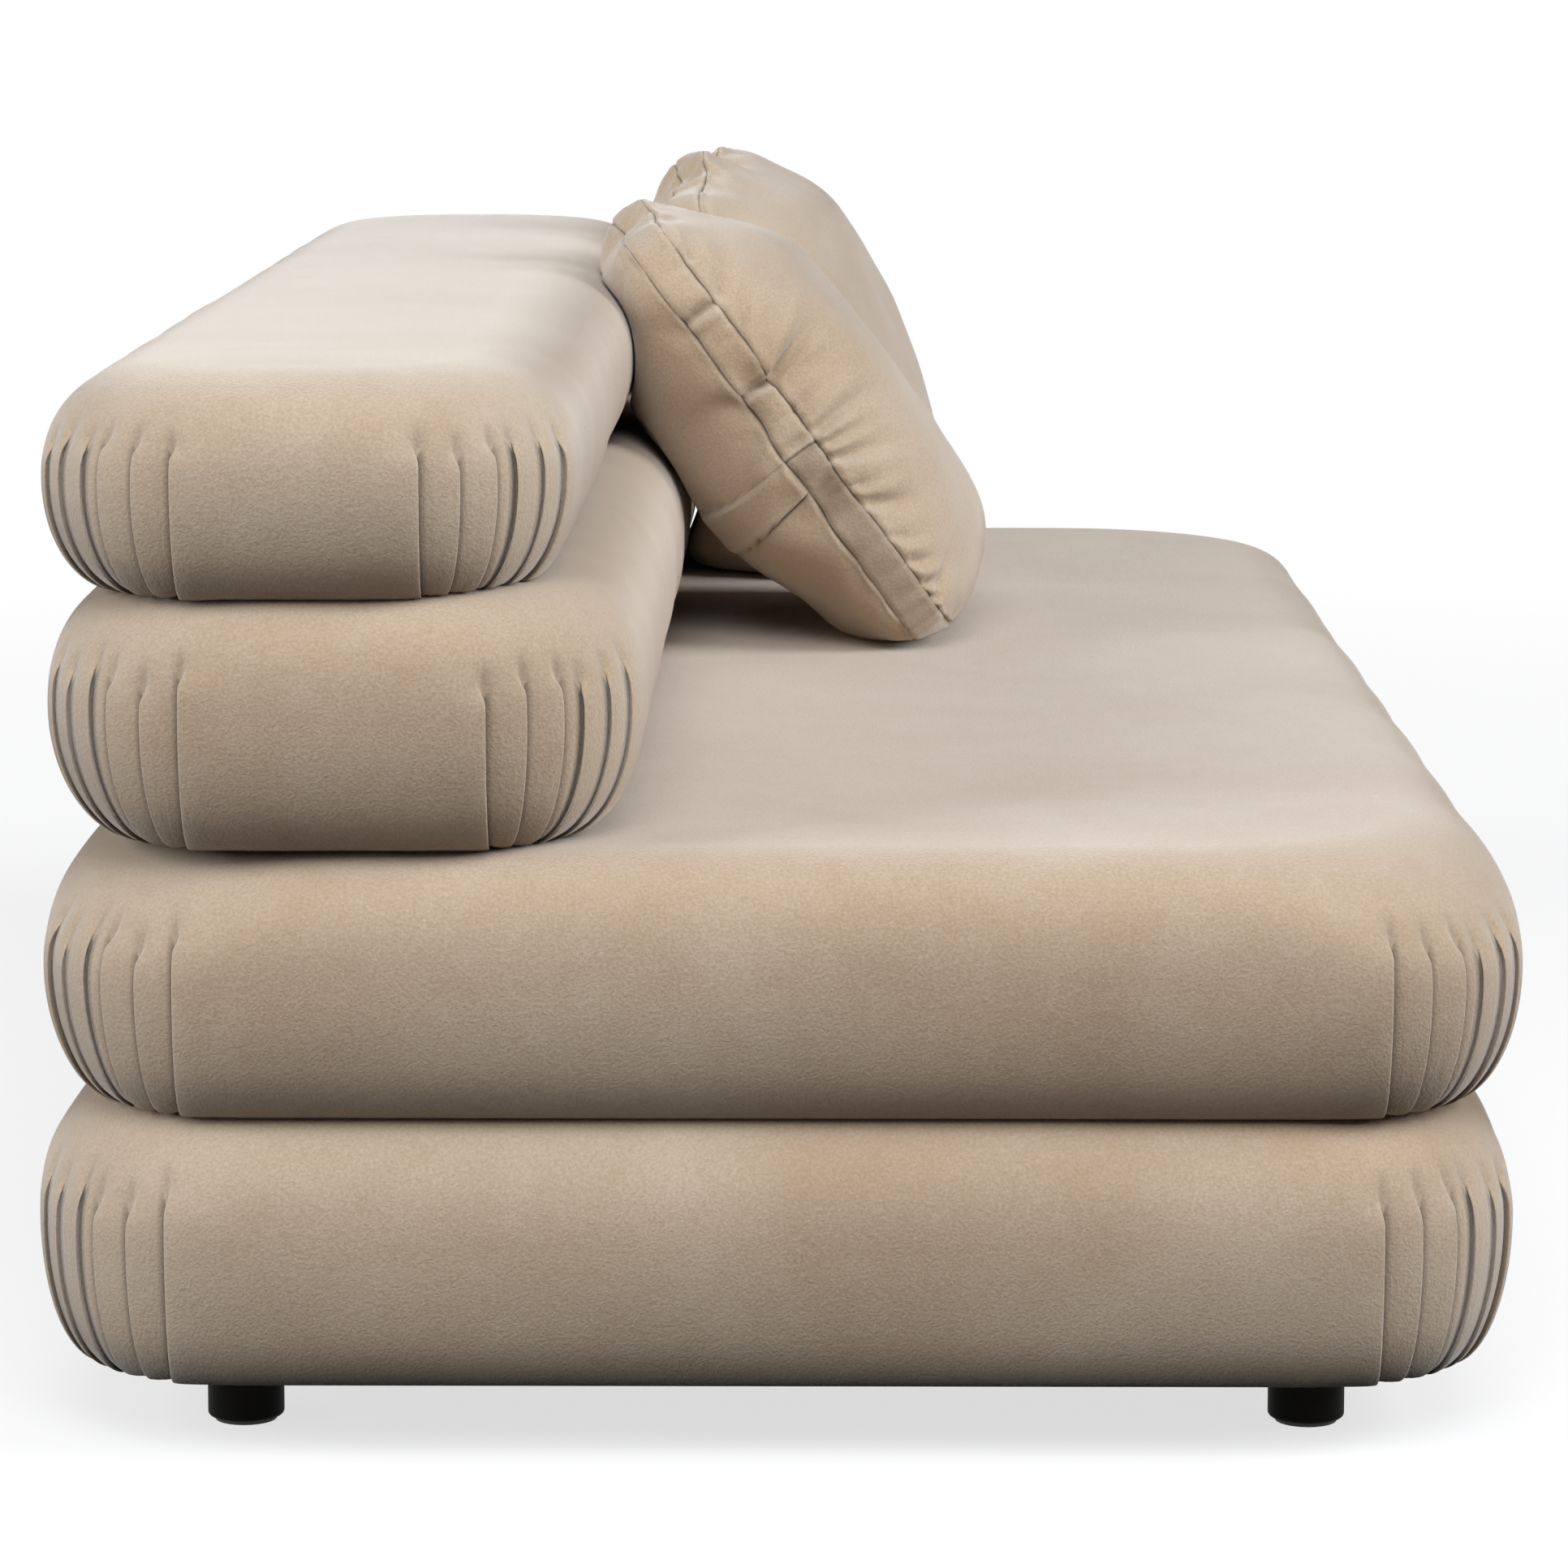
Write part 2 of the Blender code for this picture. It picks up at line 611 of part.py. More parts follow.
def spring(name, centre_x, run, height):
    """One sinuous wire, bent to and fro between the front and the rear rail."""
    points = [(centre_x, run[0])]
    step = (run[1] - run[0]) / (SPRING_BENDS + 1)
    for k in range(SPRING_BENDS):
        x = centre_x + (SPRING_WIDTH / 2 if k % 2 else -SPRING_WIDTH / 2)
        y = run[0] + (k + 1) * step
        points.append((x, y - step / 4))
        points.append((x, y + step / 4))
    points.append((centre_x, run[1]))
    curve = bpy.data.curves.new(name, "CURVE")
    curve.dimensions = "3D"
    curve.bevel_depth = SPRING_WIRE / 2
    curve.bevel_resolution = 1
    curve.use_fill_caps = True
    line = curve.splines.new("POLY")
    line.points.add(len(points) - 1)
    for target, (x, y) in zip(line.points, points):
        target.co = (x, y, height, 1.0)
    curve.materials.append(SPRING_STEEL)
    item = bpy.data.objects.new(name, curve)
    PARTS.objects.link(item)


def build_board(slab, slots):
    """Board under the foam of a back roll, slotted for the posts."""
    low, high = frame_corners(slab, slab.inner_floor, slab.inner_floor + BOARD_THICKNESS)
    cut(box(slab.name + "_board", low, high, PLYWOOD), *slots)
    return high[2]


def cushion_edge(angle, trim):
    """Distance from a cushion's centre to its seam: a rounded square, drawn in between its corners."""
    half_width = CUSHION_WIDTH / 2 - trim
    half_height = CUSHION_HEIGHT / 2 - trim
    across = np.abs(np.cos(angle) / half_width) ** CUSHION_CORNER_POWER
    up = np.abs(np.sin(angle) / half_height) ** CUSHION_CORNER_POWER
    square = (across + up) ** (-1 / CUSHION_CORNER_POWER)
    return square * (1 - CUSHION_DRAW_IN * np.cos(2 * angle) ** 2)


def cushion_swell(share, trim):
    """Half thickness of a cushion at a share of the way from its centre to its seam."""
    swell = (CUSHION_CROWN - trim) * (1 - np.asarray(share) ** 2) ** CUSHION_CROWN_POWER
    return CUSHION_BAND / 2 - trim / 2 + swell


def cushion_rings(count, shares, trim):
    """Rings from the middle of the back panel, round the boxing band, to the middle of the front panel."""
    even = np.linspace(0.0, 2 * math.pi, count, endpoint=False)
    power = 2 / CUSHION_CORNER_POWER
    angle = np.arctan2(signed_power(np.sin(even), power), signed_power(np.cos(even), power))
    edge = cushion_edge(angle, trim)
    rings = []

    def add(reach, depth):
        flat = np.full(count, depth)
        rings.append(np.stack([reach * np.cos(angle), flat, reach * np.sin(angle)], axis=1))

    for share in shares:
        add(edge * share, float(cushion_swell(share, trim)))
    add(edge - CUSHION_SEAM_SINK, float(cushion_swell(1.0, trim)))
    add(edge + CUSHION_BAND_BULGE, 0.0)
    add(edge - CUSHION_SEAM_SINK, -float(cushion_swell(1.0, trim)))
    for share in reversed(shares):
        add(edge * share, -float(cushion_swell(share, trim)))
    return rings


def roll_front(slab, height):
    """Y of a back roll's front face at each height, far behind where the roll isn't."""
    rise = (height - slab.bottom - slab.thickness / 2) / (slab.thickness / 2)
    inside = np.abs(rise) <= 1.0
    reach, power = slab.nose(rise)
    curve = (1 - np.where(inside, np.abs(rise), 0.0) ** power) ** (1 / power)
    return np.where(inside, slab.front + reach * (1 - curve), BACK_Y)


def settle(rings, lean, turn):
    """Lower a leaning cushion on to the seat, then move it back until it meets a back roll."""
    stack = np.stack(rings)
    share = np.linspace(0.0, 1.0, CONTACT_SAMPLES)[:, None, None, None]
    skin = (stack[:-1] * (1 - share) + stack[1:] * share).reshape(-1, 3)
    skin = skin @ np.array(Matrix.Rotation(turn, 3, "Z") @ Matrix.Rotation(-lean, 3, "X")).T
    lift = SEAT.top + GAP - skin[:, 2].min()
    height = skin[:, 2] + lift
    room = np.minimum(roll_front(LOWER, height), roll_front(UPPER, height)) - skin[:, 1]
    return float(room.min()) - GAP, float(lift)


def build_cushion(name, centre_x, lean, turn):
    """Loose box cushion: a cover with a zip in its back panel, and a fibre insert."""
    rings = cushion_rings(COVER_COUNT, COVER_SHARES, 0.0)
    y, z = settle(rings, lean, turn)
    carrier = empty(name, (centre_x, y, z), (-lean, 0.0, turn))
    cover = place(name + "_cover", loft(name + "_cover", rings), VELVET, parent=carrier)
    inside = loft(name + "_cavity", cushion_rings(INSERT_COUNT, INSERT_SHARES, CUSHION_WALL))
    half = (ZIP_LENGTH / 2, ZIP_WIDTH / 2)
    slit = box_cutter(
        name + "_slit", (-half[0], CUSHION_BAND / 2, -ZIP_BELOW_CENTRE - half[1]),
        (half[0], CUSHION_BAND / 2 + CUSHION_CROWN + CUT_MARGIN, -ZIP_BELOW_CENTRE + half[1]), carrier)
    cut(cover, cutter(name + "_cavity", inside, parent=carrier), slit)
    insert = loft(name + "_insert", cushion_rings(INSERT_COUNT, INSERT_SHARES, CUSHION_WALL + 2 * GAP))
    place(name + "_insert", insert, FIBRE, parent=carrier)
    place(name + "_zip", zip_mesh(name + "_zip"), ZIP_TAPE, parent=carrier)


def zip_mesh(name):
    """Closed zip that fills the slit, following the swell of the back panel."""
    across = np.linspace(-1.0, 1.0, ZIP_STATIONS) * (ZIP_LENGTH / 2 - GAP)
    angle = np.arctan2(-ZIP_BELOW_CENTRE, across)
    share = np.hypot(across, ZIP_BELOW_CENTRE) / cushion_edge(angle, 0.0)
    outer = cushion_swell(share, 0.0) - ZIP_SINK
    half = ZIP_WIDTH / 2 - GAP
    rings = []
    for x, y in zip(across, outer):
        rings.append([
            (x, y, -ZIP_BELOW_CENTRE - half), (x, y, -ZIP_BELOW_CENTRE + half),
            (x, y - ZIP_THICKNESS, -ZIP_BELOW_CENTRE + half), (x, y - ZIP_THICKNESS, -ZIP_BELOW_CENTRE - half)])
    return loft(name, rings)


def main():
    slots = post_slots()
    bores = leg_bores()
    build_legs(bores)
    build_dust_cover(bores)
    cross_rails, deck_top = build_base_frame(bores, slots)
    build_posts(cross_rails)
    felt_top = build_seat_frame(slots)
    pocket_tops = {
        BASE: deck_top, SEAT: felt_top, LOWER: build_board(LOWER, slots), UPPER: build_board(UPPER, slots)}
    for slab, pocket_top in pocket_tops.items():
        cut(slab_foam(slab, pocket_top), *slots)
        cut(slab_cover(slab), *slots)
    build_cushion("near_cushion", NEAR_CUSHION_X, NEAR_CUSHION_LEAN, NEAR_CUSHION_TURN)
    build_cushion("far_cushion", FAR_CUSHION_X, FAR_CUSHION_LEAN, FAR_CUSHION_TURN)


main()
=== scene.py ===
"""Looks of the armless loveseat: pleated velvet slabs, two loose box cushions and black legs in a white studio.

Metres, +Z up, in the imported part's own frame: +X runs along the seat and the front faces -Y.
"""
from __future__ import annotations

import json
import logging
import math
from collections.abc import Iterable
from dataclasses import dataclass, field, replace
from enum import Enum, IntEnum
from typing import Any

import bmesh
import bpy
import numpy as np
from mathutils import Euler, Matrix, Vector

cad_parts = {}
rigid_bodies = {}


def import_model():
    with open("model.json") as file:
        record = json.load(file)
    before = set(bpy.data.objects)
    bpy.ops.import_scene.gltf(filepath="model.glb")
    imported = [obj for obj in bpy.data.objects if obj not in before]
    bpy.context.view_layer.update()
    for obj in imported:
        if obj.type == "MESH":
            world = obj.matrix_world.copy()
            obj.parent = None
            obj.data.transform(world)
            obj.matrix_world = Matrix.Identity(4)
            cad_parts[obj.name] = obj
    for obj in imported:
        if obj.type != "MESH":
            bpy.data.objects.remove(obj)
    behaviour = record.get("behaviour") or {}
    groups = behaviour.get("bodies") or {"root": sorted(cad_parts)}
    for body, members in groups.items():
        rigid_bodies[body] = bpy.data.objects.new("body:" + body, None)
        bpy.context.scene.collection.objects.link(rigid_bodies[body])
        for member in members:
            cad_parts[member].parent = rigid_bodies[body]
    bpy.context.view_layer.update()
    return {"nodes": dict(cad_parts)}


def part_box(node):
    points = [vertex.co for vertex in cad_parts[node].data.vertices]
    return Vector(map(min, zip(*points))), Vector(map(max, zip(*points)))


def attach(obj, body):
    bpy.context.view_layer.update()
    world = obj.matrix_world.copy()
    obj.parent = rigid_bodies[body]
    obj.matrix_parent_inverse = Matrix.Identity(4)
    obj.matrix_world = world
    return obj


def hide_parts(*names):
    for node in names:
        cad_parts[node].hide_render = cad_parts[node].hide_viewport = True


LOG = logging.getLogger("loveseat")
PHOTO_PIXELS = 1932
SENSOR_MM = 36.0
# Vertex attribute of painted shade, below zero where a highlight is painted
PAINTED_SHADE_ATTRIBUTE = "tuck"
CURVE_SAMPLES = 1441
NEARLY_NIL = 1e-9

Array = np.ndarray


class Body(str, Enum):
    """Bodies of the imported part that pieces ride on."""

    SEAT_AND_BACK = "seat_and_back"
    NEAR_CUSHION = "near_cushion"
    FAR_CUSHION = "far_cushion"


class Zone(IntEnum):
    """Parts of a box cushion's cover, in order through its thickness."""

    FRONT = -1
    BAND = 0
    BACK = 1


def linear_colour(text: str) -> tuple[float, float, float, float]:
    """Turn an sRGB hex colour into linear light.

    Args:
        text: Colour such as "#B0A090".

    Returns:
        Linear red, green, blue and an alpha of one.
    """
    shares = (int(text[i:i + 2], 16) / 255 for i in (1, 3, 5))
    red, green, blue = (s / 12.92 if s <= 0.04045 else ((s + 0.055) / 1.055) ** 2.4 for s in shares)
    return red, green, blue, 1.0


def per_mm(size: float) -> float:
    """Texture scale, in features to the metre, at which one is about this many millimetres wide."""
    return 1000.0 / size


def add_node(tree: bpy.types.NodeTree, kind: str, inputs: dict[Any, Any] | None = None,
             **settings: Any) -> bpy.types.Node:
    """Add a node, set its options and feed its sockets.

    Args:
        tree: Node tree to add to.
        kind: Blender's name of the node type.
        inputs: Socket name or index to a value, or to the output socket that feeds it.
        settings: Options of the node itself.

    Returns:
        The new node.
    """
    node = tree.nodes.new(kind)
    for key, value in settings.items():
        setattr(node, key, value)
    for key, value in (inputs or {}).items():
        if isinstance(value, bpy.types.NodeSocket):
            tree.links.new(value, node.inputs[key])
        else:
            node.inputs[key].default_value = value
    return node


@dataclass(frozen=True)
class Finish:
    """A real material: its common name, its colour, how it takes light and how far its grain stands up."""

    name: str
    colour: str
    roughness: float
    metallic: float = 0.0
    gloss: float = 0.5
    roughness_spread: float = 0.06
    relief: float = 0.3
    relief_depth: float = 0.0005

    def material(self) -> bpy.types.Material:
        """Build the material once and hand out the same one afterwards.

        Returns:
            The material, with its nodes in place.
        """
        found = bpy.data.materials.get(self.name)
        if found:
            return found
        made = bpy.data.materials.new(self.name)
        made.use_nodes = True
        tree = made.node_tree
        shader = tree.nodes["Principled BSDF"]
        for socket, value in (("Base Color", linear_colour(self.colour)), ("Roughness", self.roughness),
                              ("Metallic", self.metallic), ("Specular IOR Level", self.gloss)):
            shader.inputs[socket].default_value = value
        grain, tone = self.pattern(tree, shader)
        rough = add_node(tree, "ShaderNodeMapRange", {
            "Value": grain, "To Min": self.roughness - self.roughness_spread,
            "To Max": min(self.roughness + self.roughness_spread, 1.0)})
        bump = add_node(tree, "ShaderNodeBump", {
            "Strength": self.relief, "Distance": self.relief_depth, "Height": grain})
        for socket, output in (("Base Color", tone), ("Roughness", rough.outputs["Result"]),
                               ("Normal", bump.outputs["Normal"])):
            tree.links.new(output, shader.inputs[socket])
        return made

    def pattern(self, tree: bpy.types.NodeTree, shader: bpy.types.Node) -> tuple[bpy.types.NodeSocket, ...]:
        """Draw the grain and the colour over the surface.

        Args:
            tree: The material's node tree.
            shader: Its shader, for sockets that only one kind of finish sets.

        Returns:
            Sockets that give the grain's height and the colour.
        """
        raise NotImplementedError


@dataclass(frozen=True)
class Velvet(Finish):
    """Short-pile polyester velvet: matt, with a pale bloom at a glance and a fine pebbled grain."""

    gloss: float = 0.1
    roughness_spread: float = 0.08
    relief: float = 0.8
    relief_depth: float = 0.0010
    painted_shade_colour: str = "#241A12"
    painted_shade_mix: float = 0.85
    painted_highlight_colour: str = "#D2C6B8"
    painted_highlight_mix: float = 0.6
    light_colour: str = "#B9A892"
    light_range: tuple[float, float] = (0.95, 1.60)
    sheen: float = 0.85
    sheen_roughness: float = 0.48
    sheen_colour: str = "#F0ECE7"
    # The pile's own grain is well under 1 mm, too fine to show in the render, so it is drawn coarser
    grain_mm: float = 2.3
    grain_share: float = 1.2
    mottle_mm: float = 26.0
    mottle_share: float = 0.35
    nap_mm: float = 260.0

    def pattern(self, tree: bpy.types.NodeTree, shader: bpy.types.Node) -> tuple[bpy.types.NodeSocket, ...]:
        """Mix two tones by nap, mottle and grain, mix in painted shade and painted highlight from the mesh, and set the
        bloom.
        """
        for socket, value in (("Weight", self.sheen), ("Roughness", self.sheen_roughness),
                              ("Tint", linear_colour(self.sheen_colour))):
            shader.inputs["Sheen " + socket].default_value = value
        place = add_node(tree, "ShaderNodeTexCoord").outputs["Object"]
        grain, mottle, nap = (
            add_node(tree, "ShaderNodeTexNoise", {
                "Vector": place, "Scale": per_mm(size), "Detail": detail, "Roughness": rough,
                "Distortion": distortion}).outputs["Fac"]
            for size, detail, rough, distortion in (
                (self.grain_mm, 3.0, 0.65, 0.0), (self.mottle_mm, 5.0, 0.6, 0.0), (self.nap_mm, 2.0, 0.5, 0.7)))
        drift = nap
        for noise, share in ((mottle, self.mottle_share), (grain, self.grain_share)):
            drift = add_node(tree, "ShaderNodeMath", {0: noise, 1: share, 2: drift},
                             operation="MULTIPLY_ADD").outputs[0]
        light = add_node(tree, "ShaderNodeMapRange", {
            "Value": drift, "From Min": self.light_range[0], "From Max": self.light_range[1]}).outputs["Result"]
        # Painted shade from the mesh, below zero a painted highlight
        fold = add_node(tree, "ShaderNodeAttribute", attribute_name=PAINTED_SHADE_ATTRIBUTE).outputs["Fac"]
        deep, edge = (
            add_node(tree, "ShaderNodeMath", {0: fold, 1: strength}, operation="MULTIPLY", use_clamp=True).outputs[0]
            for strength in (self.painted_shade_mix, -self.painted_highlight_mix))
        tone: Any = linear_colour(self.colour)
        for share, other in ((light, self.light_colour), (deep, self.painted_shade_colour), (edge, self.painted_highlight_colour)):
            tone = add_node(tree, "ShaderNodeMix", {0: share, 6: tone, 7: linear_colour(other)},
                            data_type="RGBA").outputs[2]
        return grain, tone


@dataclass(frozen=True)
class Grained(Finish):
    """Felt, cloth, moulded plastic or plated metal: one tone broken by fibres, dots or spangle of another."""

    grain_colour: str = "#FFFFFF"
    grain_mm: float = 1.2
    grain_range: tuple[float, float] = (0.35, 0.7)
    stretch: float = 1.0
    detail: float = 4.0
    harshness: float = 0.7
    waver: float = 0.0

    def pattern(self, tree: bpy.types.NodeTree, shader: bpy.types.Node) -> tuple[bpy.types.NodeSocket, ...]:
        """Spread the second tone by a noise, which is drawn out along the piece by the stretch."""
        place = add_node(tree, "ShaderNodeTexCoord").outputs["Object"]
        drawn = add_node(tree, "ShaderNodeMapping", {"Vector": place, "Scale": (1 / self.stretch, 1.0, 1.0)})
        grain = add_node(tree, "ShaderNodeTexNoise", {
            "Vector": drawn.outputs["Vector"], "Scale": per_mm(self.grain_mm), "Detail": self.detail,
            "Roughness": self.harshness, "Distortion": self.waver}).outputs["Fac"]
        share = add_node(tree, "ShaderNodeMapRange", {
            "Value": grain, "From Min": self.grain_range[0], "From Max": self.grain_range[1]}).outputs["Result"]
        tone = add_node(tree, "ShaderNodeMix", {
            0: share, 6: linear_colour(self.colour), 7: linear_colour(self.grain_colour)}, data_type="RGBA")
        return grain, tone.outputs[2]


@dataclass(frozen=True)
class Wood(Grained):
    """Sawn or lacquered wood: long, wavering grain lines, raised a little."""

    roughness_spread: float = 0.1
    relief: float = 0.15
    grain_mm: float = 4.0
    stretch: float = 14.0
    detail: float = 6.0
    harshness: float = 0.6
    waver: float = 0.5


# The two extra tones are painted: shade in tucks, seams, creases and at the foot of each slab, and highlights on fold
# edges and ridges
VELVET = Velvet("beige_velvet", "#A58E74", 0.9)
# Dull black lacquer over close-grained wood: nearly black, with a faint line of grain and hardly any gloss
BLACK_LACQUER = Wood("black_lacquered_wood", "#0A0907", 0.55, grain_colour="#15130F", grain_mm=2.0, relief=0.05,
                     gloss=0.06)
# Planed softwood: pale, with darker late-wood lines
PINE = Wood("planed_pine", "#D2B284", 0.65, grain_colour="#A9814F")
# Rotary-cut face veneer: broad, low-contrast figure
PLYWOOD = Wood("birch_plywood", "#CDAE84", 0.7, grain_colour="#B08E62", grain_mm=9.0, stretch=8.0)
# Bright zinc over rolled steel: grey metal with a faint spangle
ZINC_STEEL = Grained("zinc_plated_steel", "#A9ABAE", 0.35, 1.0, grain_colour="#C2C4C6", grain_mm=2.5, relief=0.05)
# Oil-tempered wire: dark, blued metal
SPRING_STEEL = Grained("tempered_spring_steel", "#4E5054", 0.42, 1.0, grain_colour="#6B6D70", grain_mm=1.5,
                       relief=0.05)
# Moulded nylon: black, evenly matt from a spark-eroded mould
NYLON = Grained("moulded_nylon", "#1B1A19", 0.55, grain_colour="#262523", grain_mm=0.8, relief=0.1)
# Needled felt: grey, with loose fibres of other shades
FELT = Grained("needled_felt", "#5F5B57", 0.95, grain_colour="#8B8680", grain_mm=2.2, relief=0.6)
# Spunbond cloth: black, dotted by its bonding points
SPUNBOND = Grained("spunbond_cloth", "#161617", 0.9, grain_colour="#2A2A2B", grain_mm=1.4, relief=0.4)

# Finish of each CAD node that stays in the scene, by how its name starts
NODE_FINISHES: dict[Finish, tuple[str, ...]] = {
    ZINC_STEEL: ("leg_bolt", "post_bolt"),
    NYLON: ("foot_glide",),
    PINE: ("corner_block", "base_rail", "cross_rail", "seat_rail", "back_post"),
    PLYWOOD: ("base_deck", "lower_back_board", "upper_back_board"),
    SPRING_STEEL: ("seat_spring",),
    FELT: ("spring_felt",),
    SPUNBOND: ("dust_cover",),
}


def smooth_step(value: Array | float) -> Array:
    """Ease from 0 to 1 as the value goes from 0 to 1: 3v^2 - 2v^3."""
    share = np.clip(value, 0.0, 1.0)
    return share * share * (3.0 - 2.0 * share)


def bell(distance: Array, width: Array | float) -> Array:
    """Fall off to both sides of a line, from 1 to nothing over about two widths: exp -(distance / width)^2."""
    return np.exp(-(distance / width) ** 2)


def unit(vectors: Array) -> Array:
    """Scale vectors along the last axis to length one."""
    return vectors / np.maximum(np.linalg.norm(vectors, axis=-1, keepdims=True), 1e-12)


def wander(points: Array, size: float, seed: int, waves: int = 9) -> Array:
    """Smooth unevenness in space, about -1 to 1: a sum of sine waves in seeded directions.

    Args:
        points: Places, with x, y and z along the last axis.
        size: Typical distance between two bumps.
        seed: Number that fixes the directions and phases.
        waves: How many waves are added.

    Returns:
        One value for each point.
    """
    chance = np.random.default_rng(seed)
    total = np.zeros(points.shape[:-1])
    for heading, phase, scale in zip(unit(chance.normal(size=(waves, 3))), chance.uniform(0, 2 * math.pi, waves),
                                     chance.uniform(0.7, 1.5, waves)):
        total += np.sin(points @ heading * (2 * math.pi / (size * scale)) + phase)
    return total / math.sqrt(waves)


def grid_quads(rows: int, columns: int) -> Array:
    """Corner numbers of the quads of a grid whose columns run round and close on themselves.

    Args:
        rows: Rings of points.
        columns: Points in a ring.

    Returns:
        One row of four numbers for each quad.
    """
    row, column = np.meshgrid(np.arange(rows - 1), np.arange(columns), indexing="ij")
    right = (column + 1) % columns
    corners = [row * columns + column, row * columns + right, (row + 1) * columns + right, (row + 1) * columns + column]
    return np.stack(corners, axis=-1).reshape(-1, 4)


def quad_mesh(name: str, points: Array, quads: Array, **attributes: Array) -> bpy.types.Mesh:
    """Put points and quads into a mesh.

    Args:
        name: Name of the mesh.
        points: Places of the vertices.
        quads: Vertex numbers, four to a face.
        attributes: Values per vertex, kept as named attributes.

    Returns:
        The mesh, shaded smooth.
    """
    mesh = bpy.data.meshes.new(name)
    mesh.vertices.add(len(points))
    mesh.vertices.foreach_set("co", np.ascontiguousarray(points, dtype=np.float32).ravel())
    mesh.loops.add(quads.size)
    mesh.loops.foreach_set("vertex_index", np.ascontiguousarray(quads, dtype=np.int32).ravel())
    mesh.polygons.add(len(quads))
    mesh.polygons.foreach_set("loop_start", np.arange(0, quads.size, 4, dtype=np.int32))
    for label, values in attributes.items():
        layer = mesh.attributes.new(label, "FLOAT", "POINT")
        layer.data.foreach_set("value", np.ascontiguousarray(values, dtype=np.float32).ravel())
    mesh.update(calc_edges=True)
    mesh.shade_smooth()
    return mesh


def close_mesh(mesh: bpy.types.Mesh, reach: float = 1e-6) -> None:
    """Merge points that coincide, so that poles and seams close, and point all faces outwards."""
    build = bmesh.new()
    build.from_mesh(mesh)
    bmesh.ops.remove_doubles(build, verts=build.verts, dist=reach)
    bmesh.ops.dissolve_degenerate(build, edges=build.edges, dist=reach)
    bmesh.ops.recalc_face_normals(build, faces=build.faces)
    build.to_mesh(mesh)
    build.free()


def add_piece(name: str, mesh: bpy.types.Mesh, finish: Finish, body: Body,
              nodes: Iterable[str]) -> bpy.types.Object:
    """Link a finished mesh to the scene as a piece of the part.

    Args:
        name: Name of the piece.
        mesh: Its mesh, in place.
        finish: Its material.
        body: Body that it moves with.
        nodes: CAD nodes that it stands for.

    Returns:
        The piece.
    """
    mesh.materials.append(finish.material())
    piece = bpy.data.objects.new(name, mesh)
    bpy.context.scene.collection.objects.link(piece)
    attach(piece, body.value)
    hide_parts(*nodes)
    LOG.info("%s: %d vertices, %d faces", name, len(mesh.vertices), len(mesh.polygons))
    return piece


@dataclass
class Bullnose:
    """Edge of a slab seen from its end: a full curve that reaches in at top and bottom."""

    reach_above: float
    reach_below: float
    bottom: float
    top: float
    power_above: float
    power_below: float

    @property
    def middle(self) -> float:
        """Height of the foremost point."""
        return (self.bottom + self.top) / 2

    def branch(self, rise: Array) -> tuple[Array, Array]:
        """Reach and power of the curve, which differ above and below its middle."""
        above = np.asarray(rise) > 0.0
        return (np.where(above, self.reach_above, self.reach_below),
                np.where(above, self.power_above, self.power_below))

    def rows(self, count: int) -> tuple[Array, Array, Array]:
        """Points spaced evenly along the curve, from the underside to the top.

        The curve is a superellipse: with an angle t from -90 to 90 degrees, the rise is sin t and the
        inset 1 - cos t, each sine and cosine raised to 2 / power.

        Args:
            count: Number of points.

        Returns:
            Inset from the foremost point, height, and rise from -1 to 1.
        """
        angle = np.linspace(-math.pi / 2, math.pi / 2, CURVE_SAMPLES)
        reach, power = self.branch(angle)
        rise = np.sign(angle) * np.abs(np.sin(angle)) ** (2 / power)
        inset = reach * (1 - np.clip(np.cos(angle), 0.0, 1.0) ** (2 / power))
        height = self.middle + rise * (self.top - self.bottom) / 2
        steps = np.hypot(np.diff(inset), np.diff(height))
        arc = np.concatenate([[0.0], np.cumsum(steps)])
        even = np.linspace(0.0, arc[-1], count)
        return np.interp(even, arc, inset), np.interp(even, arc, height), np.interp(even, arc, rise)

    def inset_at(self, height: Array) -> Array:
        """How far the face lies behind the foremost point at each height; infinite above and below it."""
        rise = (height - self.middle) / ((self.top - self.bottom) / 2)
        inside = np.abs(rise) <= 1.0
        reach, power = self.branch(rise)
        curve = (1 - np.where(inside, np.abs(rise), 0.0) ** power) ** (1 / power)
        return np.where(inside, reach * (1 - curve), np.inf)


